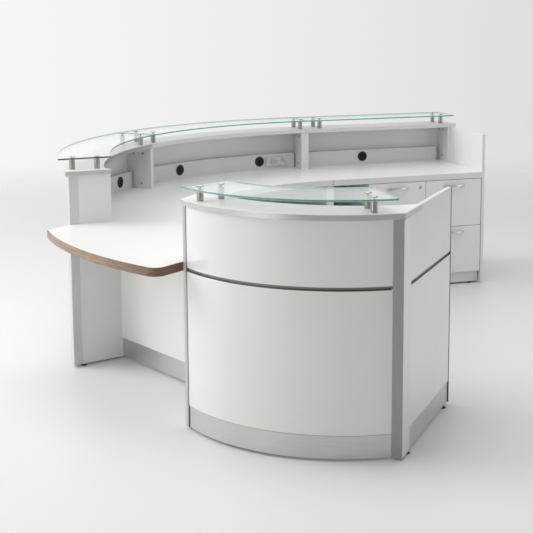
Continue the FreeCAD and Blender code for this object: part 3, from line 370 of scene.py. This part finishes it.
def lined_wood(name, light, dark):
    """A wood-look edge band: fine dark lines that run along it, and painted shade that makes it
    darker towards its right end.
    """
    s = Shader(name, Coat_Weight=0.2, Coat_Roughness=0.3)
    lines = s.noise(900.0, 4.0, 0.6, stretch=(0.02, 0.02, 1.0))
    figure = s.noise(30.0, 5.0, 0.6, stretch=(0.3, 0.3, 6.0))
    # painted shade: the colour goes from light at the left end to dark at the right end
    along = (s.x * 0.9 - s.y * 0.6).fade(-0.95, -0.15)
    lit_to_shaded = s.mixed(along, light, dark)
    tone = s.mixed((lines * 0.6 + figure * 0.4).fade(0.35, 0.65), shade(dark, 0.55), lit_to_shaded)
    s.feed(Base_Color=tone, Roughness=(lines * 0.2 + 0.34).clamped())
    s.bump(lines, 0.00010)
    return s.material


def room_light(stage):
    """Light from all round, strongest from one side and a little stronger overhead."""
    s = RoomShader("room light")
    toward = s.x * stage.side_x + s.y * stage.side_y
    level = (toward * stage.slope + stage.sky).biggest(stage.dimmest)
    height = s.z.fade(0.12, 0.75) * (stage.overhead - 1.0) + 1.0
    s.feed(Strength=level * height)
    s.surface.inputs["Color"].default_value = (1.0, 1.0, 0.985, 1.0)
    return s.world


# ---------------------------------------------------------------- modelling helpers


def nothing_selected():
    if bpy.context.mode != "OBJECT":
        bpy.ops.object.mode_set(mode="OBJECT")
    bpy.ops.object.select_all(action="DESELECT")


def started(name):
    """Names the primitive just added."""
    piece = bpy.context.active_object
    piece.name = name
    piece.data.name = name
    return piece


def rounded_cylinder(name, centre, radius, height, bevel, sides=48, rotation=(0.0, 0.0, 0.0)):
    nothing_selected()
    bpy.ops.mesh.primitive_cylinder_add(vertices=sides, radius=radius, depth=height,
                                        location=centre, rotation=rotation)
    piece = started(name)
    softened(piece, bevel)
    return piece


def softened(piece, width, segments=3, angle=0.6):
    """Bevels the sharp edges and shades the piece smooth."""
    nothing_selected()
    piece.select_set(True)
    bpy.context.view_layer.objects.active = piece
    bevel = piece.modifiers.new("soft edges", "BEVEL")
    bevel.width = width
    bevel.segments = segments
    bevel.limit_method = "ANGLE"
    bevel.angle_limit = angle
    bpy.ops.object.modifier_apply(modifier=bevel.name)
    bpy.ops.object.shade_smooth_by_angle(angle=0.7)


def one_piece(name, parts):
    """Joins the parts into one object and puts its place in its mesh."""
    nothing_selected()
    for part in parts:
        part.select_set(True)
    bpy.context.view_layer.objects.active = parts[0]
    if len(parts) > 1:
        bpy.ops.object.join()
    piece = bpy.context.active_object
    bpy.ops.object.transform_apply(location=True, rotation=True, scale=True)
    piece.name = name
    piece.data.name = name
    return piece


def finished(piece, material, body=ROOT):
    piece.data.materials.clear()
    piece.data.materials.append(material)
    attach(piece, body)
    return piece


def turned_profile(name, profile, steps=40):
    """A solid turned about the upright axis from (radius, height) pairs. They start and end on the
    axis, or end where they start."""
    nothing_selected()
    bpy.ops.mesh.primitive_plane_add(size=0.001, location=(0, 0, 0))
    piece = started(name)
    mesh = piece.data
    mesh.clear_geometry()
    edges = [(i, i + 1) for i in range(len(profile) - 1)]
    mesh.from_pydata([(radius, 0.0, height) for radius, height in profile], edges, [])
    bpy.ops.object.mode_set(mode="EDIT")
    bpy.ops.mesh.select_all(action="SELECT")
    bpy.ops.mesh.remove_doubles(threshold=0.000001)
    bpy.ops.mesh.spin(steps=steps, angle=2 * math.pi, center=(0, 0, 0), axis=(0, 0, 1))
    bpy.ops.mesh.select_all(action="SELECT")
    bpy.ops.mesh.remove_doubles(threshold=0.00001)
    bpy.ops.mesh.normals_make_consistent(inside=False)
    bpy.ops.object.mode_set(mode="OBJECT")
    nothing_selected()
    piece.select_set(True)
    bpy.context.view_layer.objects.active = piece
    bpy.ops.object.shade_smooth_by_angle(angle=0.5)
    return piece


def swept_band(name, section, sweep, steps=32):
    """A strap swept about the upright axis, its middle towards -Y, from (radius, height) pairs."""
    nothing_selected()
    bpy.ops.mesh.primitive_plane_add(size=0.001, location=(0, 0, 0))
    piece = started(name)
    mesh = piece.data
    mesh.clear_geometry()
    start = -math.pi / 2 - sweep / 2
    count = len(section)
    mesh.from_pydata([(radius * math.cos(start), radius * math.sin(start), height)
                      for radius, height in section],
                     [(i, (i + 1) % count) for i in range(count)], [])
    bpy.ops.object.mode_set(mode="EDIT")
    bpy.ops.mesh.select_all(action="SELECT")
    bpy.ops.mesh.spin(steps=steps, angle=-sweep, center=(0, 0, 0), axis=(0, 0, 1))
    bpy.ops.mesh.select_all(action="SELECT")
    bpy.ops.mesh.fill_holes(sides=count)
    bpy.ops.mesh.select_all(action="SELECT")
    bpy.ops.mesh.normals_make_consistent(inside=False)
    bpy.ops.object.mode_set(mode="OBJECT")
    return piece


def aimed(piece, spot, way):
    """Lays a turned piece so that its axis points level along way, with its origin at the spot."""
    turn = Matrix.Rotation(way, 4, "Z") @ Matrix.Rotation(math.pi / 2, 4, "Y")
    piece.data.transform(Matrix.Translation(spot) @ turn)
    piece.data.update()
    return piece


def copied(piece, name):
    twin = piece.copy()
    twin.data = piece.data.copy()
    twin.name = name
    twin.data.name = name
    bpy.context.scene.collection.objects.link(twin)
    return twin


def islands(node):
    """The middle of each separate solid of a CAD node, in metres, lowest x first."""
    mesh = NODES[node].data
    keys = {}
    parent = {}

    def find(key):
        while parent[key] != key:
            parent[key] = parent[parent[key]]
            key = parent[key]
        return key

    for vertex in mesh.vertices:
        key = tuple(round(c, 5) for c in vertex.co)
        keys[vertex.index] = key
        parent.setdefault(key, key)
    for polygon in mesh.polygons:
        first = find(keys[polygon.vertices[0]])
        for index in polygon.vertices[1:]:
            parent[find(keys[index])] = first
    groups = {}
    for key in parent:
        groups.setdefault(find(key), []).append(key)
    found = []
    for points in groups.values():
        low = Vector([min(p[i] for p in points) for i in range(3)])
        high = Vector([max(p[i] for p in points) for i in range(3)])
        found.append((low + high) / 2)
    return sorted(found, key=lambda middle: tuple(round(c, 4) for c in middle))


def coat(nodes, material):
    for name in nodes:
        mesh = NODES[name].data
        mesh.materials.clear()
        mesh.materials.append(material)


# ---------------------------------------------------------------- the counter's settings


def colour_setting(name, description, default):
    return FloatVectorProperty(name=name, description=description, default=default, size=3,
                               subtype="COLOR", min=0.0, max=1.0)


def length_setting(name, description, default):
    return FloatProperty(name=name, description=description, default=default, min=0.0,
                         unit="LENGTH")


class CounterFinishes(bpy.types.PropertyGroup):
    """Colours of the boards, metals, plastics and glass."""

    panel: colour_setting("Panels", "High gloss panels on the customers' side", (0.75, 0.75, 0.735))
    board: colour_setting("Boards", "Gables, dividers and carcasses", (0.74, 0.74, 0.73))
    worktop: colour_setting("Worktops", "Worktops and riser boards", (0.80, 0.80, 0.795))
    edging: colour_setting("Board edging", "Edge band of worktops and riser boards",
                           (0.72, 0.72, 0.715))
    metal_edge: colour_setting("Metal edging", "Aluminium edge band of the riser boards",
                               (0.58, 0.58, 0.57))
    drawer: colour_setting("Drawer fronts", "Satin laminate of the drawer fronts",
                           (0.78, 0.78, 0.77))
    metal: colour_setting("Aluminium", "Posts, kick plates, rails and trunking",
                          (0.60, 0.605, 0.61))
    trim: colour_setting("Dark trims", "Dark edge profiles", (0.08, 0.078, 0.078))
    steel: colour_setting("Steel", "Runners, handles and lock", (0.60, 0.60, 0.59))
    turned: colour_setting("Turned steel", "Standoffs of the glass", (0.42, 0.395, 0.365))
    socket: colour_setting("Socket plate", "Plate of the power sockets", (0.50, 0.50, 0.495))
    cap: colour_setting("Screw caps", "Caps over the connector screws", (0.16, 0.155, 0.15))
    plastic: colour_setting("Black plastic", "Cable outlets, sockets and feet",
                            (0.012, 0.012, 0.013))
    glass_edge: colour_setting("Glass edge", "Tint seen through the edges of the glass",
                               (0.075, 0.36, 0.31))
    glass_end: colour_setting("Glass end", "Tint seen along the whole glass", (0.004, 0.014, 0.014))
    glass_face: colour_setting("Glass face", "Tint seen through the faces of the glass",
                               (0.90, 0.94, 0.93))
    # the edge band's colour at its lit left end and at its right end in painted shade
    wood_lit_end: colour_setting("Light wood", "Edge band at its light end", (0.49, 0.34, 0.225))
    wood_shaded_end: colour_setting("Dark wood", "Edge band at its dark end", (0.19, 0.10, 0.052))


class CounterFittings(bpy.types.PropertyGroup):
    """Sizes of the small fittings."""

    post_radius: length_setting("Post radius", "Radius of the glass standoffs", 0.0145)
    cap_radius: length_setting("Cap radius", "Radius of the caps over the glass", 0.0160)
    cap_height: length_setting("Cap height", "Thickness of the caps over the glass", 0.0040)
    handle_span: length_setting("Handle span", "Width of the drawer handles", 0.150)
    handle_reach: length_setting("Handle reach", "How far the drawer handles stand out", 0.030)
    handle_height: length_setting("Handle height", "Height of the strap of the drawer handles",
                                  0.016)
    handle_thickness: length_setting("Handle thickness", "Thickness of that strap", 0.0042)
    screw_radius: length_setting("Screw cap radius", "Radius of the connector screw caps", 0.0070)
    screw_height: length_setting("Screw cap height", "How far the connector screw caps stand proud",
                                 0.0018)


class CounterStage(bpy.types.PropertyGroup):
    """Floor, light and camera."""

    eye: FloatVectorProperty(name="Camera place", description="Where the camera stands", size=3,
                             default=(-2.26607, -5.90389, 1.808), subtype="TRANSLATION",
                             unit="LENGTH")
    heading: FloatProperty(name="Heading", description="How far the camera is turned right of +Y",
                           default=math.radians(17.977), subtype="ANGLE")
    tilt: FloatProperty(name="Tilt", description="How far the camera looks down",
                        default=0.1491, subtype="ANGLE")
    roll: FloatProperty(name="Roll", description="How far the camera leans", default=-0.0069,
                        subtype="ANGLE")
    lens: FloatProperty(name="Lens", description="Focal length on a 36 mm wide film", default=80.41,
                        min=10.0)
    shift: FloatProperty(name="Shift", description="Upward shift of the film", default=-0.150)
    floor: colour_setting("Floor", "Colour of the floor", (0.76, 0.76, 0.755))
    sky: FloatProperty(name="Room light", description="Strength of the even light all round",
                       default=0.49, min=0.0)
    slope: FloatProperty(name="Side light",
                         description="How much stronger the room is on its bright side",
                         default=0.56, min=0.0)
    side_x: FloatProperty(name="Bright side X", description="Where the bright side lies",
                          default=-0.55)
    side_y: FloatProperty(name="Bright side Y", description="Where the bright side lies",
                          default=0.84)
    dimmest: FloatProperty(name="Dimmest side", description="Strength of the dimmest side",
                           default=0.42, min=0.0)
    overhead: FloatProperty(name="Overhead share", description="How bright the room is overhead",
                            default=1.10, min=0.0)
    left_light: FloatProperty(name="Left softbox", description="Power in watts",
                              default=330.0, min=0.0)
    right_light: FloatProperty(name="Right softbox", description="Power in watts",
                               default=36.0, min=0.0)
    top_light: FloatProperty(name="Overhead softbox", description="Power in watts",
                             default=62.0, min=0.0)
    front_light: FloatProperty(name="Front softbox", description="Power in watts",
                               default=34.0, min=0.0)
    floor_near: length_setting("Floor fade start", "Where the floor starts to fade into the room",
                               2.9)
    floor_fade: length_setting("Floor fade end", "Where the floor has faded into the room", 9.0)


# ---------------------------------------------------------------- operators


class COUNTER_OT_boards(bpy.types.Operator):
    """Gives the panels, gables, worktops and drawer fronts their laminates"""

    bl_idname = "counter.boards"
    bl_label = "Boards"

    def execute(self, context):
        look = context.scene.counter_finishes
        panels = [f"{row}_panel_{unit}" for row in ("upper", "lower") for unit in UNITS]
        panels += ["bow_upper_panel", "bow_lower_panel", "bow_end_upper_panel",
                   "bow_end_lower_panel"]
        coat(panels, gloss_laminate("white gloss laminate", look.panel))
        coat(["low_front_panel"],
             gloss_laminate("white satin laminate", shade(look.panel, 1.1), 0.28, 0.2))
        gables = ["riser_divider_one", "riser_gables", "support_gables", "leg_gable",
                  "riser_end_gable", "end_panel_right", "bow_left_gable", "pedestal_left",
                  "pedestal_right"]
        coat(gables + [f"drawer_box_{name}" for name in DRAWERS],
             matt_laminate("white matt laminate", look.board))
        coat([f"worktop_{unit}" for unit in UNITS]
             + ["bow_worktop", "low_worktop", "riser_board_two", "riser_board_three"],
             worktop_laminate("pale worktop laminate", look.worktop, look.edging))
        coat(["riser_board_one", "bow_riser_board"],
             worktop_laminate("metal edged laminate", look.worktop, look.metal_edge, 1.0))
        coat([f"drawer_front_{name}" for name in DRAWERS],
             matt_laminate("satin drawer laminate", look.drawer, 0.34))
        # the low edge band: lined wood with painted shade towards its right end
        coat(["low_edge_band"], lined_wood("lined wood edge band", look.wood_lit_end, look.wood_shaded_end))
        return {"FINISHED"}


class COUNTER_OT_metals(bpy.types.Operator):
    """Gives the posts, kick plates, rails, trunking, trims and feet their finishes"""

    bl_idname = "counter.metals"
    bl_label = "Metals and plastics"

    def execute(self, context):
        look = context.scene.counter_finishes
        upright, along, finer = (60.0, 60.0, 0.6), (0.8, 0.8, 60.0), (0.8, 0.8, 40.0)
        # the left end posts' aluminium painted 1.2 times lighter: painted light, as they stand in
        # the left light
        coat(["left_end_posts"],
             anodised("ribbed aluminium", shade(look.metal, 1.2), upright, 0.34, 0.7))
        # the corner post: its front faces painted in shade, its other faces painted with a
        # highlight
        coat(["bow_corner_post"],
             anodised("ribbed corner aluminium", look.metal, upright, 0.34, 0.7, BOW_FRONT))
        coat(["kick_plates"], anodised("brushed kick plate", look.metal, along, 0.26))
        # the rails in the grooves: aluminium painted 0.35 times as light, painted shade of the
        # groove
        coat(["groove_rails"], anodised("shadow rail", shade(look.metal, 0.35), along, 0.36))
        coat(["cable_trunking"],
             anodised("satin trunking", shade(look.metal, 1.15), finer, 0.40, 0.2))
        coat(["bow_edge_trims"], anodised("dark trim", look.trim, upright, 0.38, 0.5))
        coat(["slide_channels", "lock_barrel"] + [f"handle_{name}" for name in DRAWERS],
             brushed_steel("brushed steel", look.steel))
        coat(["cable_outlets", "levelling_feet"],
             moulded_plastic("black moulded plastic", look.plastic))
        coat(["power_sockets"], moulded_plastic("pale moulded plastic", look.socket, 0.34))
        return {"FINISHED"}


class COUNTER_OT_glass(bpy.types.Operator):
    """Gives the glass shelves clear faces and green edges"""

    bl_idname = "counter.glass"
    bl_label = "Glass shelves"

    def execute(self, context):
        look = context.scene.counter_finishes
        coat([f"glass_{unit}_shelf" for unit in UNITS] + ["bow_glass_shelf"],
             polished_glass("clear glass", look.glass_edge, look.glass_face, look.glass_end,
                            GLASS_END_X))
        return {"FINISHED"}


class COUNTER_OT_standoffs(bpy.types.Operator):
    """Turns the glass standoffs: foot ring, post, stud through the glass and chamfered cap"""

    bl_idname = "counter.standoffs"
    bl_label = "Glass standoffs"

    def execute(self, context):
        look, fit = context.scene.counter_finishes, context.scene.counter_fittings
        posts, caps = islands("standoff_posts"), islands("standoff_caps")
        if len(posts) != len(caps):
            raise RuntimeError("each standoff needs a post and a cap")
        glass_low, glass_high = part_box("bow_glass_shelf")
        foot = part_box("bow_riser_board")[1].z
        under, over = glass_low.z, glass_high.z
        post, groove, neck = fit.post_radius, fit.post_radius - 0.0012, fit.post_radius - 0.0010
        cap, top = fit.cap_radius, over + fit.cap_height
        profile = [(0.0, foot), (post, foot), (post, foot + 0.003), (groove, foot + 0.0038),
                   (groove, foot + 0.0052), (post, foot + 0.006), (post, under - 0.0035),
                   (neck, under - 0.0012), (neck, under), (STUD_RADIUS, under), (STUD_RADIUS, over),
                   (cap - 0.0010, over), (cap, over + 0.0010), (cap, top - 0.0014),
                   (cap - 0.0015, top), (0.0, top)]
        first = turned_profile("standoff_01", profile)
        # the standoffs' upward faces, the caps' tops, painted 1.9 times lighter: a painted
        # reflection of the light overhead
        steel = brushed_steel("turned steel", look.turned, 1.9)
        made = []
        for index, middle in enumerate(caps):
            piece = first if index == 0 else copied(first, f"standoff_{index + 1:02d}")
            made.append((piece, Vector((middle.x, middle.y, 0.0))))
        for piece, place in made:
            piece.data.transform(Matrix.Translation(place))
            piece.data.update()
            finished(piece, steel)
            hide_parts("standoff_posts", "standoff_caps")
        return {"FINISHED"}


class COUNTER_OT_handles(bpy.types.Operator):
    """Bends an arched strap handle for each drawer, on two feet"""

    bl_idname = "counter.handles"
    bl_label = "Drawer handles"

    def execute(self, context):
        look, fit = context.scene.counter_finishes, context.scene.counter_fittings
        steel = brushed_steel("satin handle steel", shade(look.steel, 1.15))
        for name in DRAWERS:
            low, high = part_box(f"handle_{name}")
            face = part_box(f"drawer_front_{name}")[0].y
            half, reach = fit.handle_span / 2, fit.handle_reach
            radius = (half ** 2 + reach ** 2) / (2 * reach)
            sweep = 2 * math.asin(half / radius)
            middle = Vector(((low.x + high.x) / 2, face - reach + radius, (low.z + high.z) / 2))
            h, t = fit.handle_height / 2, fit.handle_thickness
            section = [(radius, -h), (radius, h), (radius - t, h), (radius - t, -h)]
            strap = swept_band(f"strap_{name}", section, sweep)
            strap.location = middle
            softened(strap, t * 0.3, 2)
            parts = [strap]
            for side in (-1, 1):
                spot = Vector((middle.x + side * (half - 0.006), face - 0.0035, middle.z))
                parts.append(rounded_cylinder(f"foot_{name}", spot, 0.0065, 0.007, 0.0008, 32,
                                              (math.pi / 2, 0.0, 0.0)))
            piece = one_piece(f"arched_handle_{name}", parts)
            finished(piece, steel, f"drawer_{name}")
            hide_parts(f"handle_{name}")
        return {"FINISHED"}


class COUNTER_OT_fittings(bpy.types.Operator):
    """Adds the screw caps, the rubber grommets in the outlets and the ring round the lock"""

    bl_idname = "counter.fittings"
    bl_label = "Small fittings"

    def execute(self, context):
        look, fit = context.scene.counter_finishes, context.scene.counter_fittings
        caps = moulded_plastic("grey screw cap", look.cap, 0.36)
        for index, (spot, way) in enumerate(SCREW_CAPS, start=1):
            r, h = fit.screw_radius, fit.screw_height
            piece = turned_profile(f"screw_cap_{index:02d}", [
                (0.0, -h * 0.5), (r, -h * 0.5), (r, h * 0.35), (r * 0.86, h * 0.85), (r * 0.55, h),
                (r * 0.5, h * 0.7), (0.0, h * 0.7)], 32)
            finished(aimed(piece, spot, way), caps)
        rubber = moulded_plastic("black rubber", look.plastic, 0.6)
        for index, middle in enumerate(islands("cable_outlets"), start=1):
            way = TOWARDS_STAFF
            if middle.x < RUN.x:
                way = math.atan2(RUN.y - middle.y, RUN.x - middle.x)
            hole = [(0.0050, 0.0), (0.0224, 0.0022), (0.0224, 0.0042), (0.0050, 0.0018)]
            piece = turned_profile(f"rubber_grommet_{index}", hole + hole[:1], 40)
            petals = [piece]
            for number in range(GROMMET_RIBS):
                rib = rounded_cylinder(f"rib_{number}", (0, 0, 0), 0.0009, 0.0165, 0.0002, 12)
                turn = number * 2 * math.pi / GROMMET_RIBS
                rib.location = (0.0137 * math.cos(turn), 0.0137 * math.sin(turn), 0.0034)
                rib.rotation_euler = (0, math.pi / 2 - 0.12, turn)
                petals.append(rib)
            piece = one_piece(f"rubber_grommet_{index}", petals)
            finished(aimed(piece, middle, way), rubber)
        low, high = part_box("lock_barrel")
        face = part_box("drawer_front_one")[0].y
        inner, outer, proud = LOCK_RADIUS + 0.0002, LOCK_RADIUS + 0.0044, 0.0018
        ring = turned_profile("lock_ring", [(inner, 0.0), (outer, 0.0), (outer, proud - 0.0010),
                                            (outer - 0.0012, proud), (inner, proud), (inner, 0.0)])
        centre = Vector(((low.x + high.x) / 2, face, low.z + LOCK_RADIUS))
        finished(aimed(ring, centre, TOWARDS_STAFF),
                 brushed_steel("lock ring steel", look.steel), "drawer_one")
        return {"FINISHED"}


class COUNTER_OT_stage(bpy.types.Operator):
    """Sets the floor, the studio light and the camera"""

    bl_idname = "counter.stage"
    bl_label = "Stage"

    def execute(self, context):
        scene, stage = context.scene, context.scene.counter_stage
        scene.view_settings.view_transform = "Standard"
        nothing_selected()
        bpy.ops.mesh.primitive_circle_add(vertices=96, radius=stage.floor_fade * 1.2,
                                          fill_type="NGON", location=(0, 0, CAD_BOX[0][2]))
        floor = started("studio_floor")
        s = Shader("studio floor", Roughness=0.42, IOR=1.4)
        s.feed(Base_Color=s.mixed(s.noise(0.8, 3.0).fade(0.3, 0.7), shade(stage.floor, 0.99),
                                  shade(stage.floor, 1.01)))
        away = (s.x * s.x + s.y * s.y).power(0.5).fade(stage.floor_near, stage.floor_fade)
        clear = s.node("ShaderNodeBsdfTransparent", {})
        surface = Value(s, s.surface.outputs[0])
        blend = s.node("ShaderNodeMixShader", {}, away, surface, clear)
        s.tree.links.new(blend.socket, s.tree.nodes["Material Output"].inputs["Surface"])
        floor.data.materials.append(s.material)
        scene.world = room_light(stage)
        for name, size, place, aim, power in SOFTBOXES:
            nothing_selected()
            bpy.ops.object.light_add(type="AREA", location=place)
            lamp = bpy.context.active_object
            lamp.name = name
            lamp.data.size = size
            lamp.data.energy = getattr(stage, power)
            direction = Vector(aim) - Vector(place)
            lamp.rotation_euler = direction.to_track_quat("-Z", "Y").to_euler()
        heading, tilt, roll = stage.heading, stage.tilt, stage.roll
        forward = Vector((math.sin(heading) * math.cos(tilt), math.cos(heading) * math.cos(tilt),
                          -math.sin(tilt)))
        right = Vector((math.cos(heading), -math.sin(heading), 0.0))
        up = right.cross(forward)
        across = right * math.cos(roll) + up * math.sin(roll)
        upward = up * math.cos(roll) - right * math.sin(roll)
        nothing_selected()
        bpy.ops.object.camera_add(location=stage.eye)
        camera = bpy.context.active_object
        camera.name = "camera"
        turn = Matrix((across, upward, -forward)).transposed().to_4x4()
        camera.matrix_world = Matrix.Translation(stage.eye) @ turn
        camera.data.sensor_width = 36.0
        camera.data.lens = stage.lens
        camera.data.shift_y = stage.shift
        camera.data.clip_end = 400.0
        scene.camera = camera
        return {"FINISHED"}


class COUNTER_PT_sidebar(bpy.types.Panel):
    """Lists the counter's operators and settings"""

    bl_idname = "COUNTER_PT_sidebar"
    bl_label = "Service counter"
    bl_space_type = "VIEW_3D"
    bl_region_type = "UI"
    bl_category = "Counter"

    def draw(self, context):
        for operator in OPERATORS:
            self.layout.operator(operator.bl_idname)
        for settings in (context.scene.counter_finishes, context.scene.counter_fittings,
                         context.scene.counter_stage):
            box = self.layout.box()
            for name in settings.__annotations__:
                box.prop(settings, name)


OPERATORS = (COUNTER_OT_boards, COUNTER_OT_metals, COUNTER_OT_glass, COUNTER_OT_standoffs,
             COUNTER_OT_handles, COUNTER_OT_fittings, COUNTER_OT_stage)
SETTINGS = {"counter_finishes": CounterFinishes, "counter_fittings": CounterFittings,
            "counter_stage": CounterStage}


def register():
    for settings in SETTINGS.values():
        bpy.utils.register_class(settings)
    for name, settings in SETTINGS.items():
        setattr(bpy.types.Scene, name, PointerProperty(type=settings))
    for operator in OPERATORS:
        bpy.utils.register_class(operator)
    bpy.utils.register_class(COUNTER_PT_sidebar)


def unregister():
    bpy.utils.unregister_class(COUNTER_PT_sidebar)
    for operator in reversed(OPERATORS):
        bpy.utils.unregister_class(operator)
    for name in SETTINGS:
        delattr(bpy.types.Scene, name)
    for settings in reversed(SETTINGS.values()):
        bpy.utils.unregister_class(settings)


def main():
    register()
    bpy.ops.counter.boards()
    bpy.ops.counter.metals()
    bpy.ops.counter.glass()
    bpy.ops.counter.standoffs()
    bpy.ops.counter.handles()
    bpy.ops.counter.fittings()
    bpy.ops.counter.stage()


if __name__ == "__main__":
    main()
